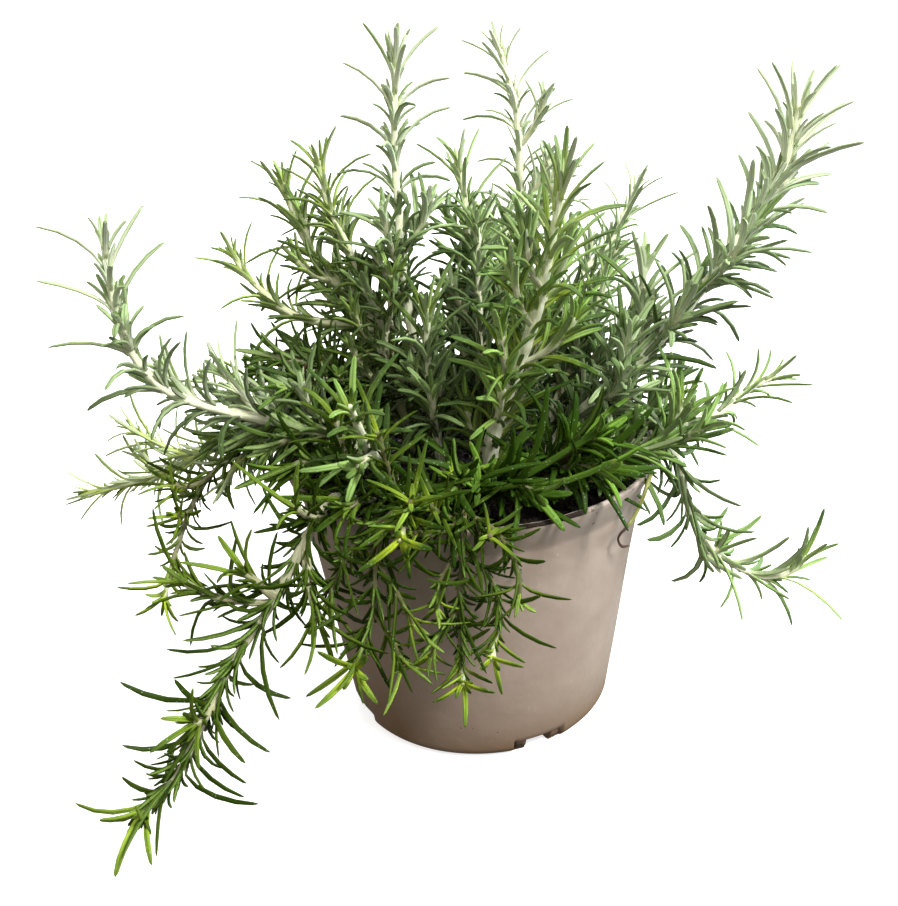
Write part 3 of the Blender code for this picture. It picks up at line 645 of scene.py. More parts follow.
routes = {
    "tall_left": [[(-9, 7, 78), (-14, 7, 112), (-19, 6, 148), (-20, 8, 176), (-20, 12, 202), (-17, 12, 236)]],
    "tall_back": [[(10, 27, 78), (16, 34, 120), (22, 42, 170), (22, 47, 205), (15, 50, 231)]],
    "mid": [[(0, 12, 78), (5, 13, 112), (6, 15, 148), (3, 20, 174), (0, 22, 198)]],
    "mid_back": [[(13, 15, 78), (14, 20, 118), (16, 27, 150), (16, 30, 177)]],
    "mid_front": [[(4, -3, 78), (4, -1, 112), (5, 3, 150), (6, 6, 181)]],
    "front_right": [[(4, -15, 78), (7, -20, 109), (13, -25, 130), (22, -33, 160), (30, -45, 209)]],
    "left": [
        [(-17, 0, 78), (-23, 0, 112), (-27, 1, 142), (-36, 6, 166), (-43, 10, 184), (-45, 10, 202)],
        [(-27, 1, 142), (-35, 4, 150), (-47, 10, 163), (-55, 17, 177), (-59, 20, 194)],
        [(-27, 1, 142), (-38, 0, 145), (-57, 7, 147), (-71, 12, 158), (-79, 15, 171)],
    ],
    "left_far": [
        [(-23, -8, 78), (-36, -9, 100), (-55, -11, 113), (-79, -15, 122), (-98, -20, 133),
         (-107, -24, 152), (-108, -25, 178), (-104, -25, 192)],
        [(-67, -13, 117), (-77, -6, 126), (-88, 0, 138)],
        [(-50, -10, 110), (-54, -15, 124), (-58, -18, 137)],
    ],
    "left_bush": [[(-28, 1, 78), (-35, 3, 104), (-43, 3, 124), (-51, 1, 138)]],
    "left_low": [
        [(-30, 11, 78), (-44, 14, 98), (-62, 17, 107), (-80, 20, 98), (-95, 23, 92), (-112, 32, 88),
         (-133, 40, 98)],
        [(-95, 23, 92), (-108, 27, 85), (-120, 30, 79), (-136, 30, 75), (-151, 30, 73)],
    ],
    "left_hang": [
        [(-37, 0, 78), (-50, 2, 100), (-63, 3, 106), (-80, 4, 101), (-97, 2, 86), (-107, -7, 66),
         (-111, -10, 54), (-113, -10, 45)],
    ],
    "trail": [
        [(-33, -26, 78), (-38, -40, 98), (-45, -50, 105), (-53, -59, 96), (-63, -65, 80), (-79, -70, 59),
         (-91, -76, 38), (-100, -80, 24), (-111, -81, 15), (-124, -82, 12)],
    ],
    "front_hang_left": [
        [(-15, -38, 78), (-21, -50, 98), (-26, -60, 105), (-31, -67, 93), (-33, -70, 76), (-37, -71, 65),
         (-43, -72, 55)],
    ],
    "front_hang": [
        [(-1, -42, 78), (-3, -52, 97), (-4, -62, 105), (-5, -68, 96), (-7, -70, 76), (-7, -72, 50)],
        [(-5, -68, 96), (3, -70, 86), (5, -71, 73), (2, -74, 60)],
    ],
    "front_bright": [[(-11, -28, 78), (-14, -42, 101), (-18, -57, 109), (-23, -73, 106)]],
    "front_small": [[(-25, -31, 78), (-29, -42, 98), (-35, -53, 106), (-42, -63, 107)]],
    "front_left_up": [[(-22, -19, 78), (-28, -28, 102), (-34, -36, 118), (-37, -50, 139)]],
    "centre_up": [[(-9, -10, 78), (-11, -11, 104), (-13, -12, 132), (-12, -15, 158)]],
    "right_big": [
        [(18, -5, 78), (33, -8, 106), (54, -12, 129), (75, -8, 151), (90, -4, 170), (102, -1, 188),
         (106, 0, 204), (107, 0, 218)],
    ],
    "right_back": [[(21, 24, 78), (28, 31, 112), (42, 42, 142), (57, 50, 157), (68, 55, 178)]],
    "right_low": [
        [(31, 3, 78), (44, 1, 99), (60, -1, 106), (73, 0, 103), (86, 3, 104), (99, 8, 111), (113, 10, 117)],
    ],
    "right_fork": [
        [(24, -19, 78), (36, -25, 97), (50, -28, 104), (61, -26, 107), (67, -25, 115), (70, -25, 126)],
    ],
    "right_hang": [
        [(36, -12, 78), (48, -16, 99), (60, -18, 105), (69, -19, 98), (73, -19, 82), (79, -18, 67),
         (90, -18, 56), (101, -18, 50), (111, -20, 53), (120, -20, 66)],
    ],
    "right_mid": [[(23, 7, 78), (30, 10, 106), (42, 20, 126), (49, 28, 141), (54, 31, 153)]],
    "right_bush": [[(30, 15, 78), (41, 13, 110), (52, 15, 129), (63, 20, 144)]],
    "right_front": [[(15, -26, 78), (22, -31, 100), (34, -36, 117)]],
    "front_mass": [[(4, -29, 78), (3, -38, 98), (3, -50, 112)]],
    "back_up": [[(0, 33, 78), (2, 46, 110), (6, 58, 138), (8, 66, 160)]],
    "back_left": [[(-17, 24, 78), (-27, 38, 108), (-38, 50, 130), (-46, 60, 150)]],
    "back_hang": [
        [(-10, 40, 78), (-14, 53, 98), (-17, 63, 106), (-19, 73, 96), (-20, 81, 72), (-18, 88, 50)],
    ],
    "back_right": [[(15, 41, 78), (22, 53, 99), (30, 62, 108), (42, 72, 110), (54, 80, 120)]],
}

twigValues = {
    "step": 1.1 * mm,
    "sides": 12,
    "rootRadius": 1.9 * mm,
    "tipRadius": 0.85 * mm,
    "branchThinning": 0.8,
    "lesserNeedles": 0.92,
    "shootRadius": 1.0 * mm,
    "square": 0.07,
    "knuckle": 0.36 * mm,
    "knuckleReach": 1.5 * mm,
    "roughness": 0.07,
    "endReach": 4 * mm,
    "starReach": 9 * mm,
    "feltRise": (115 * mm, 60 * mm),
    "barkReach": 34 * mm,
}

# short side shoots fill the inside of the plant; few of them far from its middle
shootValues = {
    "chanceInside": 0.8,
    "chanceOutside": 0.12,
    "insideReach": 66 * mm,
    "top": 172 * mm,
    "angle": math.radians(48),
    "longest": 32 * mm,
    "shortest": 11 * mm,
    "tipShare": 0.55,
    "needleShare": 0.86,
    "lowest": 94 * mm,
    "room": 2.2 * mm,
}

# what most stems have; a stem's own line below changes some of it
needleValues = {
    "length": 22 * mm,
    "width": 0.9 * mm,
    "tipBack": 4 * mm,
    "firstPair": 0.4 * mm,
    "bareBelow": 93 * mm,
    "closeSpacing": 2.3 * mm,
    "fullSpacing": 8.2 * mm,
    "pairsToFull": 3.5,
    "baseAngle": (5, 18),
    "startAngle": (10, 48),
    "endAngle": (38, 92),
    "angleReach": 14 * mm,
    "youth": 0.3,
    "pale": 0.12,
    "droop": 0.18,
    "axils": 1.0,
    "toLight": 0.75,
    "shoots": 1.0,
    "hug": 0.75,
    "back": 1.4 * mm,
    "sway": 0.18,
    "leastAngle": 0,
    "youthReach": 10 * mm,
    "wild": 0.0,
    "extraDark": 0.0,
    "tipShare": 0.3,
    "growReach": 8 * mm,
    "point": 0.3,
    "tipWidth": 0.75,
    "star": None,
    "facing": None,
    "felt": 0.0,
    "fresh": 0.0,
    "olive": 0.0,
    "highPale": 0.3,
    "twig": 1.0,
}

# what several stems share: star-shaped ends over the rim, hanging tips, and large dark leaves low in front
starEnd = {"pale": 0.0, "tipBack": 0, "startAngle": (48, 60), "endAngle": (62, 84), "youthReach": 5 * mm,
           "extraDark": 0.9, "point": 1.1}
hangingTip = {**starEnd, "youth": 1.0, "droop": 0.0, "sway": 0.2, "wild": 1.2, "twig": 0.35, "fresh": -0.9,
              "leastAngle": 40, "olive": 0.3}
lowFront = {"width": 1.15 * mm, "shoots": 2.0, "fullSpacing": 6 * mm, "pale": 0.0, "twig": 0.8, "wild": 0.5,
            "extraDark": 1.0, "fresh": -0.5, "point": 0.6}

needleChanges = {
    "tall_left": {"fullSpacing": 7.6 * mm, "endAngle": (30, 104), "startAngle": (8, 46), "width": 0.96 * mm,
                  "pale": 0.35, "axils": 0.6, "twig": 1.25, "facing": 0.1, "sway": 0.1, "felt": 0.3,
                  "highPale": 0.75, "tipWidth": 0.9, "point": 0.1, "tipBack": 6 * mm},
    "tall_back": {"fullSpacing": 7.6 * mm, "pale": 0.9, "width": 0.80 * mm, "length": 19 * mm, "axils": 0.5,
                  "twig": 1.35, "facing": -0.2, "sway": 0.1, "felt": 0.4, "highPale": 0.75, "tipWidth": 0.9},
    "mid": {"pale": 0.35, "axils": 0.8, "width": 0.85 * mm, "youth": 0.6, "youthReach": 20 * mm},
    "front_right": {"fullSpacing": 8.5 * mm, "closeSpacing": 1.6 * mm, "pairsToFull": 6, "width": 0.98 * mm,
                    "twig": 1.6, "length": 27 * mm, "pale": 0.15, "youth": 1.1, "youthReach": 60 * mm,
                    "axils": 0.3, "tipBack": 10 * mm, "endAngle": (28, 78), "startAngle": (6, 34),
                    "droop": 0.1, "sway": 0.1, "felt": 1.0, "tipWidth": 0.85, "tipShare": 0.55,
                    "highPale": 0.6, "growReach": 24 * mm},
    "left": {"pale": 0.2, "width": 0.85 * mm, "axils": 0.7, "youth": 0.9, "youthReach": 26 * mm,
             "fresh": 0.2, "highPale": 0.15, "extraDark": 0.2, "olive": 0.12},
    "left_far": {"fullSpacing": 8.7 * mm, "pale": 0.65, "width": 1.08 * mm, "length": 25 * mm, "twig": 1.35,
                 "axils": 0.55, "shoots": 1.1, "facing": 0.2, "felt": 0.6, "sway": 0.12, "pairsToFull": 2.5,
                 "highPale": 0.5, "youth": 0.2, "point": 0.2, "tipBack": 9 * mm},
    "left_bush": {"shoots": 4.2, "extraDark": 0.5, "fullSpacing": 5 * mm, "youth": 0.6},
    "left_low": {"pale": 0.45, "width": 0.75 * mm, "length": 20 * mm, "fullSpacing": 8 * mm, "shoots": 1.2,
                 "youth": 1.3, "axils": 0.7, "youthReach": 70 * mm, "wild": 0.3, "twig": 0.9, "fresh": 1.0,
                 "felt": 0.1, "droop": 0.05, "olive": 0.2},
    "left_hang": {"width": 0.75 * mm, "length": 18 * mm, "fullSpacing": 7.5 * mm, "axils": 0.7, "pale": 0.0,
                  "droop": -0.2, "sway": 0.3, "leastAngle": 22, "wild": 0.8, "youth": 0.8, "extraDark": 0.8,
                  "shoots": 1.8, "twig": 0.6, "fresh": -0.5, "star": (0, -5, 2), "startAngle": (30, 58),
                  "endAngle": (60, 92), "tipShare": 0.8, "tipWidth": 1.2, "point": 0.8, "olive": 0.35},
    "trail": {"tipShare": 1.0, "length": 23.5 * mm, "width": 0.86 * mm, "fullSpacing": 7.5 * mm,
              "pale": 0.0, "tipBack": 10 * mm, "droop": -0.1, "sway": 0.3, "leastAngle": 20, "wild": 0.7,
              "shoots": 2.2, "extraDark": 1.0, "youthReach": 6 * mm, "felt": 0.15, "star": (4, -6, 3),
              "tipWidth": 1.5, "startAngle": (20, 56), "endAngle": (52, 94), "point": 0.8, "olive": 0.35},
    "front_hang": {**hangingTip, "tipShare": 0.8, "tipWidth": 1.15, "star": (0, -6, 4), "length": 16 * mm,
                   "width": 0.72 * mm, "fullSpacing": 6.5 * mm, "shoots": 1.8, "facing": 0.5, "axils": 0.8},
    "front_hang_left": {**hangingTip, "tipShare": 1.0, "tipWidth": 1.4, "star": (3, -4, 5),
                        "length": 19 * mm, "width": 0.76 * mm, "fullSpacing": 7 * mm, "shoots": 1.5,
                        "facing": 0.7, "axils": 0.7},
    "front_bright": {**starEnd, "youth": 1.1, "length": 19 * mm, "star": (0, -5, -1), "tipShare": 0.65,
                     "tipWidth": 1.2, "twig": 0.7, "facing": 0.4, "fresh": 0.3, "shoots": 0.5, "olive": 0.1},
    "front_small": {"length": 24 * mm, "width": 1.05 * mm, "pale": 0.0, "shoots": 2.0, "twig": 0.8,
                    "wild": 0.5, "extraDark": 1.0, "fresh": -0.3, "point": 0.8, "olive": 0.1},
    "front_left_up": {"length": 24 * mm, "width": 1.15 * mm, "youth": 0.6, "shoots": 0.2, "pale": 0.2,
                      "twig": 1.7, "extraDark": 0.4, "felt": 1.0, "axils": 0.2, "fullSpacing": 10 * mm,
                      "point": 0.5},
    "front_mass": {**lowFront, "length": 31 * mm, "shoots": 2.5, "youth": 0.15},
    "right_front": {**lowFront, "length": 29 * mm, "youth": 0.2, "wild": 0.4},
    "right_fork": {"length": 25 * mm, "width": 1.0 * mm, "shoots": 0.8, "pale": 0.2, "extraDark": 0.3,
                   "felt": 1.0, "twig": 1.3, "youth": 0.5},
    "right_low": {"shoots": 0.9, "pale": 0.3, "length": 20 * mm, "felt": 1.0, "youth": 0.7, "twig": 1.4,
                  "axils": 0.6},
    "right_mid": {"shoots": 1.5, "extraDark": 0.3, "pale": 0.4},
    "right_bush": {"shoots": 1.5, "extraDark": 0.3, "pale": 0.4},
    "centre_up": {"length": 26 * mm, "width": 1.05 * mm, "shoots": 2.0, "extraDark": 0.1, "youth": 0.6,
                  "felt": 0.6, "axils": 0.8, "pale": 0.42},
    "mid_front": {"width": 0.95 * mm, "shoots": 1.5, "extraDark": 0.1, "pale": 0.4},
    "mid_back": {"shoots": 1.5, "extraDark": 0.2, "pale": 0.42},
    "right_big": {"fullSpacing": 7.6 * mm, "width": 1.12 * mm, "twig": 1.8, "pale": 0.65, "shoots": 1.1,
                  "axils": 0.65, "length": 26 * mm, "facing": 0.6, "felt": 1.0, "sway": 0.12,
                  "endAngle": (30, 84), "highPale": 0.6, "tipBack": 8 * mm},
    "right_back": {"pale": 0.5, "width": 0.74 * mm, "felt": 0.4, "highPale": 0.75},
    "right_hang": {"width": 0.98 * mm, "fullSpacing": 8 * mm, "axils": 0.6, "pale": 0.3,
                   "droop": -0.3, "sway": 0.2, "leastAngle": 16, "tipBack": 8 * mm, "wild": 0.4,
                   "twig": 0.95, "shoots": 0.9, "felt": 0.6, "tipShare": 0.6, "youth": 0.6, "point": 0.4},
}

# lesser branches that fill the front, the left of the rim and the right, where the photo shows leaves there
lesserRoutes = {
    "front_small": [[(-29, -42, 98), (-40, -42, 110), (-52, -40, 114), (-61, -41, 111)]],
    "front_left_up": [[(-28, -28, 102), (-42, -30, 117), (-55, -30, 121)],
                      [(-28, -28, 102), (-30, -44, 117), (-35, -58, 120)]],
    "left_bush": [[(-35, 3, 104), (-50, -5, 115), (-64, -10, 116), (-74, -9, 110)],
                  [(-43, 3, 124), (-56, 4, 131), (-68, 4, 134)],
                  [(-35, 3, 104), (-48, 8, 112), (-62, 12, 122), (-72, 14, 126)],
                  [(-35, 3, 104), (-46, -14, 113), (-57, -24, 116), (-67, -29, 113)],
                  [(-43, 3, 124), (-50, -12, 130), (-60, -22, 132)],
                  [(-35, 3, 104), (-55, 10, 104), (-75, 14, 104), (-92, 12, 101)],
                  [(-35, 3, 104), (-46, 18, 118), (-60, 28, 130)]],
    "left_low": [[(-62, 17, 107), (-72, 8, 104), (-82, 2, 96), (-88, 0, 88)]],
    "front_mass": [[(3, -38, 98), (-4, -52, 109), (-11, -63, 109)],
                   [(3, -38, 98), (12, -50, 107), (18, -58, 108)]],
    "right_front": [[(22, -31, 100), (32, -42, 109), (40, -50, 111)],
                    [(22, -31, 100), (28, -36, 112), (38, -44, 119)]],
    "right_fork": [[(36, -25, 97), (48, -32, 107), (58, -36, 110)]],
    "right_low": [[(44, 1, 99), (58, -8, 107), (70, -14, 109)]],
    "front_hang": [[(-5, -68, 96), (-12, -72, 88), (-14, -75, 79)],
                   [(-4, -62, 105), (6, -68, 100), (11, -73, 90), (11, -75, 80)],
                   [(-7, -70, 76), (-13, -73, 70), (-17, -75, 62)]],
    "front_hang_left": [[(-26, -60, 105), (-36, -64, 98), (-44, -66, 86), (-47, -67, 77)],
                        [(-31, -67, 93), (-25, -73, 84), (-21, -76, 75)],
                        [(-33, -70, 76), (-28, -75, 70), (-25, -77, 62)]],
    "trail": [[(-53, -59, 96), (-52, -66, 86), (-50, -72, 76)],
              [(-63, -65, 80), (-67, -66, 86), (-71, -68, 92)]],
}

# a leaf's section, in halves of its width: a groove above, rolled edges below. Then where it is cut along its
# length, and how broad it is there
needleSection = np.array([[1.0, 0.0], [0.62, 0.50], [0.0, 0.22], [-0.62, 0.50],
                          [-1.0, 0.0], [-0.52, -0.55], [0.0, -0.22], [0.52, -0.55]])
needleStations = np.array([0.0, 0.10, 0.27, 0.50, 0.74, 0.94, 1.0])
needleBreadths = np.array([0.78, 0.86, 0.98, 1.0, 0.96, 0.76, 0.36])
# painted shade for leaves inside the plant, and how pale they are high up; a pair is the start and reach of
# an even ramp
shadeValues = {
    "deepLow": (165 * mm, -55 * mm),
    "deepLeft": (70 * mm, -40 * mm),
    "deepRight": (-95 * mm, 40 * mm),
    "deepShare": 0.15,
    "middle": (-22 * mm, 5 * mm),
    "innerRadius": (50 * mm, -26 * mm),
    "innerLow": (184 * mm, -34 * mm),
    "innerBack": (-40 * mm, 25 * mm),
    "innerShare": 0.48,
    "deadTone": 0.992,
    "paleHigh": (160 * mm, 50 * mm),
    "paleReach": 80 * mm,
    "deadAbove": 108 * mm,
    "deadBehind": -45 * mm,
    "agedFrom": 16 * mm,
    "agedReach": 60 * mm,
    "shootLead": 18 * mm,
    "freshReach": 8 * mm,
}
budReach = 0.35 * mm    # the leaves of the bud stand within this of the twig's tip
lipReach = 66 * mm    # a leaf may root below the lip's level only beyond this
lipTop = 100.6 * mm    # a needle above this is clear of the pot
wallReach = 1.4 * mm    # the pot's wall, with a little to spare

# leaves in one axil: turn round the twig, start and end angle, share of the length, of the width, least age
axilKinds = np.array([
    [0.42, 12, 40, 0.40, 0.80, 0.25],
    [-0.45, 14, 44, 0.37, 0.80, 0.25],
    [0.05, 5, 22, 0.30, 0.75, 0.15],
    [0.95, 26, 62, 0.50, 0.85, 0.55],
    [-0.90, 24, 60, 0.55, 0.85, 0.55],
    [-0.10, 30, 74, 0.62, 0.90, 0.70],
])


def runsOf(points):
    # the distance walked to each point
    return np.concatenate([[0], np.cumsum(np.linalg.norm(np.diff(points, axis=0), axis=1))])


def alongRoute(walked, runs, at):
    # the places at the distances asked for, straight between the points
    return np.stack([np.interp(at, runs, walked[:, axis]) for axis in range(3)], -1)


def smoothRoute(controls, spacing):
    # Catmull-Rom curve through the control points, then walked in even steps
    points = np.array(controls, float) * mm
    padded = np.vstack([2 * points[0] - points[1], points, 2 * points[-1] - points[-2]])
    share = np.linspace(0, 1, 24, endpoint=False)[None, :, None]
    before, start, end, after = (padded[i:len(padded) - 3 + i, None, :] for i in range(4))
    bend = 2 * before - 5 * start + 4 * end - after
    twist = 3 * start - before - 3 * end + after
    curve = 0.5 * (2 * start + (end - before) * share + bend * share ** 2 + twist * share ** 3)
    curve = np.vstack([curve.reshape(-1, 3), points[-1:]])
    runs = runsOf(curve)
    even = np.linspace(0, runs[-1], int(runs[-1] / spacing) + 2)
    return alongRoute(curve, runs, even), even


def routeFrame(walked):
    # heading along the route; side is square to it, from the plane that the route bends in
    heading = unit(np.gradient(walked, axis=0))
    normal = np.linalg.svd(walked - walked.mean(axis=0))[2][2]
    side = unit(np.cross(heading, normal))
    return heading, side, np.cross(heading, side)


def pairRuns(total, values):
    # distances from the tip: the spacing widens evenly from the young leaves to the full ones
    count = 80
    index = np.arange(count)
    widening = 1 - np.exp(-index / values["pairsToFull"])
    spacing = values["closeSpacing"] + (values["fullSpacing"] - values["closeSpacing"]) * widening
    fromTip = values["firstPair"] + np.concatenate([[0], np.cumsum(spacing)[:-1]])
    fromTip = np.concatenate([np.array([0.1, 0.3]) * mm, fromTip])
    return fromTip[fromTip < total - 3 * mm]


def potReach(height):
    # the pot's outside radius at a height, in straight runs
    return np.interp(height, [0, 5 * mm, 87.4 * mm, 88.5 * mm, 97.6 * mm, 100 * mm],
                     [46 * mm, 48.5 * mm, 60.1 * mm, 60.8 * mm, 64.7 * mm, 65 * mm])


def isBlocked(centres, room):
    # a station in the pot's wall, in the compost or under the floor blocks its needle
    radius = np.hypot(centres[..., 0], centres[..., 1])
    height = centres[..., 2]
    outer = potReach(height)
    inWall = (height < lipTop) & (radius < outer + room) & (radius > outer - wallReach - room)
    inSoil = (radius < outer) & (height < soilLevel(radius, soilValues) + room)
    return (inWall | inSoil | (height < room)).any(axis=1)


def needleLines(site):
    # the needle hugs the twig at its base, leaves it at the start angle and bends on to the end angle,
    # while it sways and droops; a station is the root plus the sum of the short steps before it
    share = needleStations[None, :, None]
    base, start, end = (site[key][:, None, None] for key in ("base", "start", "end"))
    turn = start + (base - start) * np.exp(-share / 0.11) + (end - start) * share ** 1.1
    across = np.cross(site["heading"], site["outward"])[:, None, :]
    direction = site["heading"][:, None, :] * np.cos(turn) + site["outward"][:, None, :] * np.sin(turn)
    direction = direction + across * site["sway"][:, None, None] * share
    direction[..., 2] -= site["droop"][:, None] * needleStations[None, :] ** 1.5
    direction = unit(direction)
    steps = (direction[:, 1:] + direction[:, :-1]) / 2 * np.diff(needleStations)[None, :, None]
    walked = np.concatenate([np.zeros((len(turn), 1, 3)), np.cumsum(steps, axis=1)], axis=1)
    centres = site["root"][:, None, :] + walked * site["length"][:, None, None]
    side = unit(across - direction * (across * direction).sum(axis=-1, keepdims=True))
    return centres, direction, side


def needleSites(branches, values, draw):
    # one row for each leaf: pairs a quarter turn apart up each branch, and the young leaves in their axils
    kinds = np.vstack([[0.0, 0.0, 0.0, 1.0, 1.0, -1.0], axilKinds])
    wild = values["wild"]
    found = []
    for walked, runs, heading, side, other, thick, scale in branches:
        isFirst = scale == 1.0
        fromTip = pairRuns(runs[-1], values)
        at = runs[-1] - fromTip
        where = np.searchsorted(runs, at).clip(0, len(runs) - 1)
        quarter = np.arange(len(fromTip)) * math.pi / 2
        start = draw.uniform(0, math.tau)
        if values["facing"] is not None and isFirst:
            # every other pair spreads left and right, turned by the angle asked for
            quarter = np.arctan2(other[where, 0], side[where, 0]) + quarter + values["facing"]
        else:
            quarter = start + quarter
        node = alongRoute(walked, runs, at)
        clearOfSoil = (node[:, 2] > values["bareBelow"]) | (np.hypot(node[:, 0], node[:, 1]) > lipReach)
        age = 1 - np.exp(-fromTip / values["angleReach"])
        for half in (0.0, math.pi):
            for number, (turn, first, last, share, breadth, leastAge) in enumerate(kinds):
                keep = clearOfSoil & (age > leastAge + draw.uniform(0, 0.12, len(age)))
                if number:
                    keep &= draw.random(len(age)) < 0.85 * values["axils"]
                count = int(keep.sum())
                if count == 0:
                    continue
                ageAndShade, run, here, ones = age[keep], fromTip[keep], where[keep], np.ones(count)
                around = quarter[keep] + half + turn + draw.normal(0, 0.12 + 0.5 * wild * ageAndShade, count)
                if number:
                    startAngle = first + draw.normal(0, 6, count)
                    endAngle = last + draw.normal(0, 12, count)
                    length = values["length"] * scale * share * draw.uniform(0.72, 1.2, count)
                else:
                    swing = draw.normal(0, 5 + 20 * wild, count) * np.clip(run / (12 * mm), 0.25, 1)
                    isBud = run < budReach
                    startAngle = between(values["startAngle"], ageAndShade) + swing
                    startAngle = np.maximum(startAngle, values["leastAngle"] * ~isBud)
                    endAngle = between(values["endAngle"], ageAndShade ** 1.2) + swing + draw.normal(0, 9, count)
                    grown = np.minimum(run / values["growReach"], 1) ** 0.55
                    grown = np.where(isBud, 0.3, between((values["tipShare"], 1), grown))
                    length = values["length"] * scale * grown * draw.normal(1, 0.09 + 0.13 * wild, count)
                width = values["width"] * breadth * draw.uniform(0.88, 1.1, count)
                tipWidth = 1 + (values["tipWidth"] - 1) * np.exp(-run / (9 * mm)) * isFirst
                found.append({
                    "root": node[keep] - heading[here] * values["back"] * (number == 0),
                    "heading": heading[here],
                    "side": side[here],
                    "other": other[here],
                    "around": around,
                    "base": np.radians(between(values["baseAngle"], ageAndShade)),
                    "start": np.maximum(np.radians(startAngle), 0.02),
                    "end": np.radians(endAngle),
                    "length": length,
                    "width": width * tipWidth,
                    "age": ageAndShade,
                    "fromTip": run,
                    "toLight": values["toLight"] * (0.35 if number else 1.0) * ones,
                    "offset": thick * values["hug"] * ones * (1 - 0.5 * runs[here] / runs[-1]),
                    "isMain": isFirst * ones,
                })
    return {key: np.concatenate([part[key] for part in found]) for key in found[0]}


def clearNeedles(site, values, draw):
    # the needles' lines; one that is blocked is turned round its twig, up to six times, and else left out
    count = len(site["around"])
    middle = site["root"].copy()
    site["outward"] = np.zeros((count, 3))
    site["sway"] = draw.normal(0, values["sway"], count)
    site["droop"] = values["droop"] * site["age"] * draw.uniform(0.2, 1.8, count)
    wrong = np.ones(count, bool)
    for attempt in range(7):
        around = site["around"] + attempt * 0.8 * (-1) ** attempt
        outward = site["side"] * np.cos(around)[:, None] + site["other"] * np.sin(around)[:, None]
        site["outward"] = np.where(wrong[:, None], outward, site["outward"])
        site["root"] = middle + site["outward"] * site["offset"][:, None]
        centres, direction, side = needleLines(site)
        wrong = isBlocked(centres[:, 1:], 1.0 * mm)
        if not wrong.any():
            break
    kept = {key: numbers[~wrong] for key, numbers in site.items()}
    return kept, centres[~wrong], direction[~wrong], side[~wrong]


def needlePoints(site, centres, direction, side, values, draw):
    # a needle turns about itself until its upper side faces the light, most of the way when it is grown,
    # and its section stands round its line, as broad as its station asks
    up = np.cross(direction, side)
    wanted = np.array([0.0, 0.0, 1.0]) + 0.35 * unit(centres[:, 3] * np.array([1.0, 1.0, 0.0]))
    lean = np.arctan2(-(wanted * side[:, 3]).sum(axis=1), (wanted * up[:, 3]).sum(axis=1))
    twist = lean * (site["toLight"] * site["age"]) + draw.normal(0, 0.28, len(centres))
    twist = twist[:, None, None] * (0.2 + 0.8 * np.minimum(needleStations / 0.4, 1))[None, :, None]
    leafSide = side * np.cos(twist) + up * np.sin(twist)
    leafUp = up * np.cos(twist) - side * np.sin(twist)
    breadths = needleBreadths ** (1 + values["point"])
    size = site["width"][:, None, None, None] * breadths[None, :, None, None]
    across, rise = needleSection[None, None, :, :1], needleSection[None, None, :, 1:]
    return centres[:, :, None] + leafSide[:, :, None] * across * size + leafUp[:, :, None] * rise * size


def needleLooks(site, middles, values, tone):
    # what the leaf material reads, each from 0 to 1; a tone of 2 is a dead leaf
    fromTip, isMain = site["fromTip"], site["isMain"]
    youth = values["youth"] * np.exp(-fromTip / values["youthReach"]) * (0.4 + 0.6 * isMain)
    # a leaf darkens with its distance from the tip and by its stem's extra dark
    past = fromTip + shadeValues["shootLead"] * (1 - isMain) - shadeValues["agedFrom"]
    ageAndShade = np.clip(past / shadeValues["agedReach"] + values["extraDark"], 0, 1)
    ageAndShade *= np.clip(fromTip / shadeValues["freshReach"], 0.25 + 0.75 * values["olive"], 1)
    # leaves deep inside the plant are darker too, as painted shade, and those of the high tips paler
    x, y, z = middles.T
    deep = ramp(z, *shadeValues["deepLow"]) * ramp(x, *shadeValues["deepLeft"])
    deep *= ramp(x, *shadeValues["deepRight"])
    middleX, middleY = shadeValues["middle"]
    inner = ramp(np.hypot(x - middleX, y - middleY), *shadeValues["innerRadius"])
    inner *= ramp(z, *shadeValues["innerLow"])
    inner *= ramp(y, *shadeValues["innerBack"])
    ageAndShade = np.clip(ageAndShade + shadeValues["deepShare"] * deep + shadeValues["innerShare"] * inner, 0, 1)
    isDead = (deep > 0.5) & (z > shadeValues["deadAbove"]) & (y > shadeValues["deadBehind"])
    isDead &= tone > shadeValues["deadTone"]
    high = ramp(z, *shadeValues["paleHigh"]) * np.exp(-fromTip / shadeValues["paleReach"])
    pale = np.clip(values["pale"] + values["highPale"] * high, 0, 1) * (1 - 0.65 * ageAndShade)
    return {"tone": np.where(isDead, 2.0, tone), "youth": youth, "pale": pale, "ageAndShade": ageAndShade,
            "olive": np.full(len(tone), values["olive"])}


def growNeedles(name, branches, values, seed, material):
    draw = np.random.default_rng(seed)
    site, centres, direction, side = clearNeedles(needleSites(branches, values, draw), values, draw)
    points = needlePoints(site, centres, direction, side, values, draw)
    count, stations, corners = points.shape[:3]
    looks = needleLooks(site, centres[:, 3], values, draw.random(count))
    looks = {key: np.repeat(numbers, stations * corners) for key, numbers in looks.items()}
    faces = repeatFaces(stations, corners, count)
    capShares = np.tile([[0.25, 0.0], [0.25, 1.0]], (count, 1))
    piece = putMesh("leaves_" + name, points, *faces, looks, material, capShares=capShares)
    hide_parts("stem_" + name)
    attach(piece, "root")
    return count


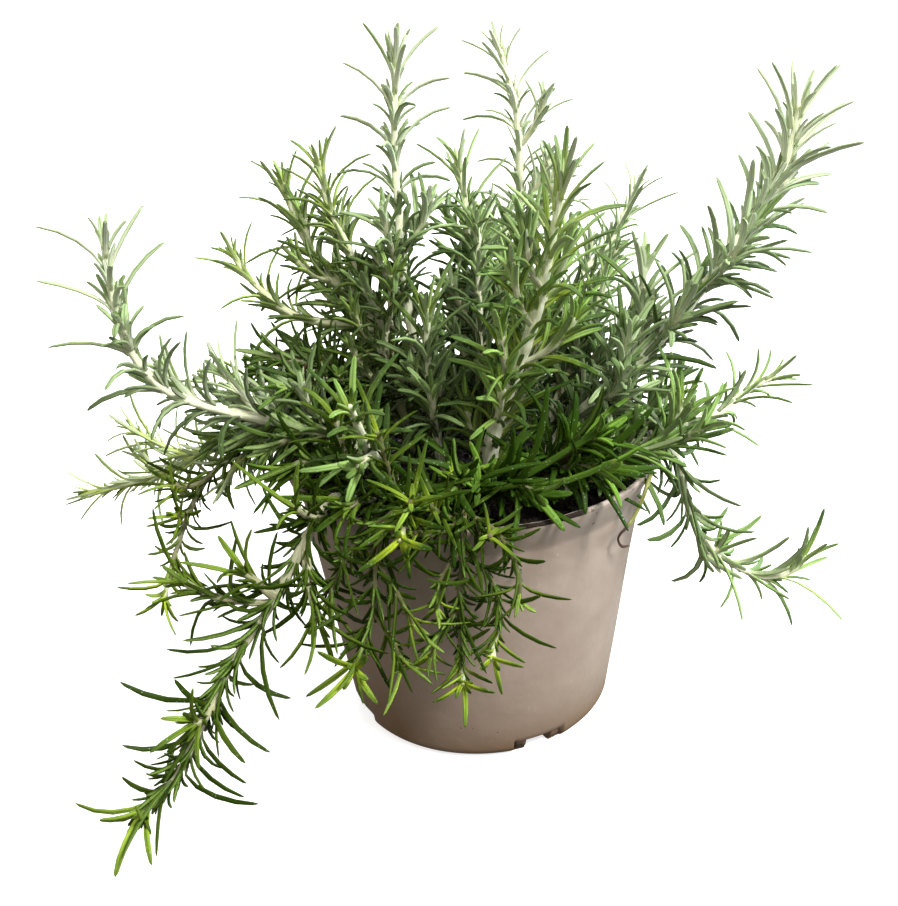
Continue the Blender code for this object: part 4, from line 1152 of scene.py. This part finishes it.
def growTwig(name, branches, values, pairs, seed, material):
    # a tube whose radius thins to the tip, a little square, with a knuckle under each pair
    angle = np.arange(values["sides"]) * math.tau / values["sides"]
    tip = values["tipRadius"] * min(1.0, pairs["twig"] ** 0.5)
    tubes, looks, base = [], [], 0
    for walked, runs, heading, side, other, thick, scale in branches:
        nodes = runs[-1] - pairRuns(runs[-1], pairs)
        near = np.exp(-((runs[:, None] - nodes[None]) / values["knuckleReach"]) ** 2).sum(axis=1)
        taper = thick + (tip - thick) * runs / runs[-1]
        taper *= np.clip((runs[-1] - runs) / values["endReach"] + 0.35, 0, 1) ** 0.6
        bark = np.stack(np.broadcast_arrays(runs[:, None] / (3 * mm), angle[None] * 0.8), -1)
        uneven = values["square"] * np.cos(4 * angle) + values["roughness"] * softNoise(bark, 1.0, seed)
        radius = taper[:, None] * (1 + uneven) + (values["knuckle"] * near * (taper / thick))[:, None]
        circle = side[:, None] * np.cos(angle)[None, :, None] + other[:, None] * np.sin(angle)[None, :, None]
        points = walked[:, None] + circle * radius[..., None]
        rows, columns = radius.shape
        quads, shares = ringFaces(rows, columns)
        shares = shares * np.array([1.0, runs[-1] / (10 * mm)])
        tubes.append((points.reshape(-1, 3), quads + base, endCaps(rows, columns) + base, shares))
        base += rows * columns
        felt = np.clip(0.25 + 0.7 * ramp(walked[:, 2], *values["feltRise"]) + pairs["felt"], 0, 1)
        felt *= 1.0 if scale == 1.0 else 0.5
        # the hanging tips that face outward are pale for their last centimetre
        nearTip = np.exp((runs - runs[-1]) / values["starReach"]) * bool(pairs["star"]) * (scale == 1.0)
        inBark = 0 * runs if looks else np.clip(1 - runs / values["barkReach"], 0, 1)
        fresh = pairs["fresh"] * (1 - nearTip) + 0.8 * nearTip ** 3
        looks.append(np.repeat([inBark, np.maximum(felt, 0.85 * nearTip), fresh], columns, axis=1))
    points, quads, caps, shares = (np.concatenate(parts) for parts in zip(*tubes))
    looks = dict(zip(("age", "pale", "fresh"), np.concatenate(looks, axis=1)))
    piece = putMesh("twig_" + name, points, quads, caps, shares, looks, material)
    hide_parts("stem_" + name)
    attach(piece, "root")


def leafMaterial():
    # the upper side is green and smooth, the rolled underside woolly and pale, the root of the needle pale
    material, tree, shader = newMaterial("needleLeaf", {"Specular IOR Level": 0.05})
    turned, along = axesOf(tree, surfacePlace(tree))[:2]
    around = calc(tree, "SINE", product(tree, turned, math.tau))
    tone, youth, pale, ageAndShade = (attribute(tree, name) for name in ("tone", "youth", "pale", "ageAndShade"))
    place = objectPlace(tree)
    mottle = noise(tree, place, 260.0, 3.0, 0.6)
    fine = noise(tree, place, 1700.0, 2.0, 0.6)
    spread = calc(tree, "POWER", calc(tree, "MINIMUM", tone, 1.0), 1.5)
    top = blendColour(tree, spread, (0.014, 0.048, 0.002), (0.350, 0.660, 0.085))
    top = overlay(tree, top, [
        (step(tree, mottle, 0.35, 0.7, 0.0, 0.4), (0.240, 0.440, 0.065)),
        # darker with age and each stem's extra dark, and deep inside the plant as painted shade
        (product(tree, ageAndShade, 0.90), (0.012, 0.032, 0.001)),
        (step(tree, along, 0.45, 1.0, 0.0, 0.5), (0.014, 0.036, 0.002)),
    ])
    top = blendColour(tree, attribute(tree, "olive"), top, (1.7, 0.98, 0.75), "MULTIPLY")
    nearRoot = calc(tree, "MAXIMUM", line(tree, along, -2.2, 1.5), 0.0)
    light = blendColour(tree, tone, (0.20, 0.28, 0.10), (0.74, 0.76, 0.62))
    top = overlay(tree, top, [
        (product(tree, youth, nearRoot), (0.430, 0.540, 0.030)),
        (product(tree, pale, line(tree, along, -0.8, 1.2)), light),    # greener toward the end
        # painted shade: a darker line along the groove
        (step(tree, around, 0.93, 1.0, 0.0, 0.45), (0.020, 0.052, 0.006)),    # the groove
    ])
    wool = blendColour(tree, step(tree, fine, 0.3, 0.7), (0.055, 0.110, 0.010), (0.19, 0.29, 0.060))
    wool = overlay(tree, wool, [
        (product(tree, youth, 0.4), (0.50, 0.62, 0.12)),
        (product(tree, ageAndShade, 0.4), (0.028, 0.070, 0.004)),
        (pale, (0.90, 0.91, 0.80)),
        (step(tree, around, -0.95, -1.0, 0.0, 0.5), (0.30, 0.40, 0.14)),    # the rib
    ])
    root = calc(tree, "SUBTRACT", 1.0, calc(tree, "DIVIDE", along, line(tree, pale, 0.25, 0.21)))
    root = calc(tree, "SMOOTH_MAX", 0.0, root, 0.05)
    root = product(tree, root, line(tree, pale, 0.5, 0.6))
    root = product(tree, root, line(tree, ageAndShade, -0.75, 1.0))
    # painted highlights: small pale spots for drops of water on the upper side, toward the front, in a few of
    # the cells
    cells = addNode(tree, "TexVoronoi", {"Vector": place, "Scale": 900.0, "Randomness": 1.0})
    few = step(tree, axesOf(tree, cells.outputs["Color"])["X"], 0.60, 0.62)
    front = step(tree, axesOf(tree, place)["Y"], -0.005, -0.03)
    paintedGlint = product(tree, step(tree, cells.outputs["Distance"], 0.24, 0.14), product(tree, few, front))
    paintedGlint = product(tree, paintedGlint, step(tree, around, 0.0, 0.5, 0.0, 0.4))
    scorched = product(tree, step(tree, along, 0.90, 1.0), step(tree, tone, 0.86, 0.94, 0.0, 0.8))
    colour = blendColour(tree, step(tree, around, -0.72, -0.42), wool, top)
    colour = overlay(tree, colour, [
        (root, blendColour(tree, youth, (0.76, 0.81, 0.58), (0.56, 0.68, 0.16))),
        (step(tree, tone, 1.2, 1.5), (0.095, 0.052, 0.028)),    # a dead leaf
        (paintedGlint, (0.42, 0.55, 0.36)),
        (scorched, (0.16, 0.085, 0.03)),
    ])
    setLooks(tree, shader, colour, step(tree, around, -0.72, -0.4, 0.9, 0.38))
    bump(tree, shader, fine, 0.00018, 0.5)
    return material


def twigMaterial():
    # brown bark near the root, whitish felt on green toward the tip, in long fibres
    material, tree, shader = newMaterial("twigBark", {"Specular IOR Level": 0.25, "Sheen Weight": 0.15,
                                                      "Sheen Roughness": 0.5})
    fibre = noise(tree, surfacePlace(tree, (14.0, 2.2, 1.0)), 1.0, 4.0, 0.65)
    patch = noise(tree, surfacePlace(tree, (2.0, 1.2, 1.0)), 1.0, 3.0, 0.6)
    strand = step(tree, fibre, 0.3, 0.7)
    green = blendColour(tree, strand, (0.15, 0.15, 0.055), (0.38, 0.37, 0.18))
    white = blendColour(tree, strand, (0.62, 0.65, 0.40), (0.90, 0.91, 0.72))
    bark = blendColour(tree, step(tree, fibre, 0.35, 0.7), (0.10, 0.065, 0.035), (0.31, 0.235, 0.15))
    age = product(tree, calc(tree, "SUBTRACT", patch, 0.5), 0.5)
    age = calc(tree, "ADD", attribute(tree, "age"), age)
    # fresh above nought is yellow-green, below nought dull olive
    fresh = attribute(tree, "fresh")
    colour = overlay(tree, green, [
        (attribute(tree, "pale"), white),
        (fresh, (0.40, 0.47, 0.14)),
        (product(tree, fresh, -1.0), (0.085, 0.080, 0.020)),
        (step(tree, age, 0.45, 0.95), bark),
    ])
    setLooks(tree, shader, colour, step(tree, fibre, 0.3, 0.7, 0.7, 0.92))
    bump(tree, shader, fibre, 0.0004, 0.8)
    return material


def nearestOn(walked, target):
    # the walked point closest to the target
    return walked[np.argmin(np.linalg.norm(walked - target, axis=1))]


def sideShoots(branches, values, draw):
    # from some nodes a short shoot leaves at an angle and bends toward the twig's own heading and the light
    found = []
    for walked, runs, heading, side, other, thick, scale in branches:
        for tipRun in pairRuns(runs[-1], values)[3:]:
            at = runs[-1] - tipRun
            node = alongRoute(walked, runs, np.array([at]))[0]
            index = int(np.searchsorted(runs, at))
            fromMiddle = np.hypot(node[0], node[1])
            isInside = fromMiddle < shootValues["insideReach"] and node[2] < shootValues["top"]
            chance = shootValues["chanceInside" if isInside else "chanceOutside"] * values["shoots"]
            around, size, luck = draw.uniform(0, math.tau), draw.uniform(0.6, 1.0), draw.random()
            length = min(shootValues["longest"], shootValues["tipShare"] * tipRun) * size
            isBuried = node[2] < shootValues["lowest"] and fromMiddle < lipReach
            if luck > chance or length < shootValues["shortest"] or isBuried:
                continue
            outward = side[index] * math.cos(around) + other[index] * math.sin(around)
            angle = shootValues["angle"]
            first = heading[index] * math.cos(angle) + outward * math.sin(angle)
            later = unit(heading[index] * 0.5 + outward * 0.3 + np.array([0.0, 0.0, 0.7]))
            # place = node + length * (first * (s - s squared / 2) + later * s squared / 2), s from 0 to 1
            share = np.linspace(0, 1, max(5, int(length / twigValues["step"])))[:, None]
            path = node + length * (first * share * (1 - share / 2) + later * share ** 2 / 2)
            if isBlocked(path[None, 2:], shootValues["room"])[0]:
                continue
            thin = twigValues["shootRadius"] * min(1.0, values["twig"] ** 0.5)
            needleShare = scale * shootValues["needleShare"]
            found.append((path, runsOf(path), *routeFrame(path), thin, needleShare))
    return found


def growStems():
    # a branch is its points, their distance along it, its frame, its radius at the root, its needles' share
    leaf, bark = leafMaterial(), twigMaterial()
    total = 0
    for number, (name, controls) in enumerate(routes.items()):
        values = {**needleValues, **needleChanges.get(name, {})}
        branches = []
        for index, points in enumerate(controls + lesserRoutes.get(name, [])):
            isLesser = index >= len(controls)
            walked, runs = smoothRoute(points, twigValues["step"])
            kept = runs <= runs[-1] - values["tipBack"] * (not isLesser)
            walked, runs = walked[kept], runs[kept]
            if values["star"] and not isLesser:
                # the tip turns out from the pot by this much, so that its leaves face outward like a star
                last = np.clip((runs - runs[-1]) / twigValues["starReach"] + 1, 0, 1)[:, None] ** 2
                walked = walked + np.array(values["star"]) * mm * last
            thick = twigValues["rootRadius"] * values["twig"]
            if index:
                walked[0] = nearestOn(branches[0][0], walked[0])
                thick *= twigValues["branchThinning"]
            needleShare = twigValues["lesserNeedles"] if isLesser else 1.0
            branches.append((walked, runs, *routeFrame(walked), thick, needleShare))
        branches += sideShoots(branches, values, np.random.default_rng(900 + number))
        growTwig(name, branches, twigValues, values, 400 + number, bark)
        total += growNeedles(name, branches, values, 500 + number, leaf)
    print("stems grown with", total, "needles")


growStems()


# Dried needle: one leaf over the lip at the right, whose end has dried and curled

driedValues = {
    "path": [(57.7, -34, 102.5), (55.5, -36.5, 97.2), (53.5, -37.5, 91.7), (51.1, -38.8, 87.4),
             (48.5, -40.6, 84.9), (46.6, -42.1, 84.0), (45.6, -42.6, 82.3), (46.2, -41.8, 79.8),
             (47.6, -40.4, 77.9), (49.9, -38.2, 76.9)],
    "widths": (1.1 * mm, 0.5 * mm),
}


def driedMaterial():
    # yellow-green with a pale streak, red-brown from where it dries
    material, tree, shader = newMaterial("driedLeaf", {"Specular IOR Level": 0.3, "Roughness": 0.55})
    fibre = noise(tree, surfacePlace(tree, (9.0, 5.0, 1.0)), 1.0, 3.0, 0.6)
    streak = step(tree, fibre, 0.35, 0.65)
    green = blendColour(tree, streak, (0.17, 0.20, 0.02), (0.52, 0.52, 0.20))
    brown = blendColour(tree, streak, (0.022, 0.009, 0.006), (0.080, 0.032, 0.020))
    along = axesOf(tree, surfacePlace(tree))["Y"]
    share = calc(tree, "ADD", along, product(tree, fibre, 0.12))
    setLooks(tree, shader, blendColour(tree, step(tree, share, 0.60, 0.70), green, brown))
    bump(tree, shader, fibre, 0.0003, 0.6)
    return material


def makeDried(values):
    # the leaf's section walked along its path, thinner toward the curled end
    walked, runs = smoothRoute(values["path"], 0.8 * mm)
    heading = routeFrame(walked)[0]
    side = unit(np.cross(heading, unit(walked * np.array([1.0, 1.0, 0.0]))))
    share = runs / runs[-1]
    size = between(values["widths"], np.clip(share / 0.75, 0, 1) ** 2)
    size = size * np.minimum(1, (1 - share) / 0.04 + 0.3)
    across, up = needleSection[None, :, :1], needleSection[None, :, 1:]
    ring = side[:, None] * across + np.cross(side, heading)[:, None] * up
    points = walked[:, None] + ring * size[:, None, None]
    piece = putTube("dried_needle", points, driedMaterial())
    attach(piece, "root")


makeDried(driedValues)
print("dried needle added")


# Floor and light: a pale floor and wall, a broad sun from the front right, two weaker lamps, a pale sky

stageValues = {
    "floorReach": 9.0,
    "floorColour": (0.62, 0.62, 0.62),
    "floorGlow": 0.72,
    "wallHeight": 9.0,
    "skyAbove": 0.95,
    "skyBelow": 0.22,
    "skyColour": (1.0, 0.97, 0.90),
    "lampTarget": (0.0, 0.0, 0.1),
}

# a sun's size is its angle, an area lamp's its width
lamps = {
    "key": {"kind": "SUN", "power": 4.9, "size": math.radians(16), "place": (0.55, -0.55, 1.15)},
    "rim": {"kind": "AREA", "power": 9.0, "size": 0.6, "place": (-0.1, 0.95, 0.85)},
    "side": {"kind": "AREA", "power": 25.0, "size": 1.0, "place": (1.1, 0.30, 0.30),
             "colour": (0.75, 0.92, 1.0)},
}


def glowMaterial(name, colour, glow, roughness, specular):
    material = newMaterial(name, {
        "Roughness": roughness, "Specular IOR Level": specular, "Base Color": (*colour, 1.0),
        "Emission Color": (1.0, 1.0, 1.0, 1.0), "Emission Strength": glow})[0]
    return material


def makeFloor(values):
    # the floor glows a little, so that shadows on it stay pale, and throws no light back at the plant
    material = glowMaterial("paleFloor", values["floorColour"], values["floorGlow"], 0.9, 0.1)
    corners = np.array([[-1, -1, 0], [1, -1, 0], [1, 1, 0], [-1, 1, 0]]) * values["floorReach"]
    noCaps = np.zeros((0, 4), int)
    shares = np.zeros((1, 4, 2))
    floor = putMesh("floor", corners, np.arange(4)[None], noCaps, shares, {}, material, isSmooth=False)
    floor.visible_diffuse = False
    floor.visible_glossy = False


def makeBackdrop(values):
    # a pale wall round the floor's edge, for the other views; it neither stops nor throws light
    material = glowMaterial("paleWall", (0.0, 0.0, 0.0), 1.0, 1.0, 0.0)
    corners = np.array([[-1, -1, 0], [-1, 1, 0], [1, 1, 0], [1, -1, 0]]) * values["floorReach"]
    points = np.stack([corners, corners + np.array([0.0, 0.0, values["wallHeight"]])])
    quads, shares = ringFaces(2, 4)
    noCaps = np.zeros((0, 4), int)
    wall = putMesh("backdrop", points, quads, noCaps, shares, {}, material, isSmooth=False)
    wall.visible_diffuse = False
    wall.visible_glossy = False
    wall.visible_transmission = False
    wall.visible_shadow = False


def addLamp(name, lamp, target):
    data = bpy.data.lights.new(name, lamp["kind"])
    data.energy = lamp["power"]
    data.color = lamp.get("colour", (1.0, 1.0, 1.0))
    setattr(data, "angle" if lamp["kind"] == "SUN" else "size", lamp["size"])
    back = unit(np.array(lamp["place"]) - np.array(target))
    across = unit(np.cross([0.0, 0.0, 1.0], back))
    putObject(name, data, across, np.cross(back, across), back, lamp["place"])


def makeSky(values):
    # bright overhead and dim under the horizon, so that what faces down is darker
    world = bpy.data.worlds.new("paleSky")
    world.use_nodes = True
    tree = world.node_tree
    sky = tree.nodes["Background"]
    sky.inputs["Color"].default_value = (*values["skyColour"], 1.0)
    height = axesOf(tree, addNode(tree, "TexCoord").outputs["Generated"])["Z"]
    strength = step(tree, height, -0.35, 0.45, values["skyBelow"], values["skyAbove"])
    tree.links.new(strength, sky.inputs["Strength"])
    bpy.context.scene.world = world


makeFloor(stageValues)
makeBackdrop(stageValues)
for name, lamp in lamps.items():
    addLamp(name, lamp, stageValues["lampTarget"])
makeSky(stageValues)
print("stage set")
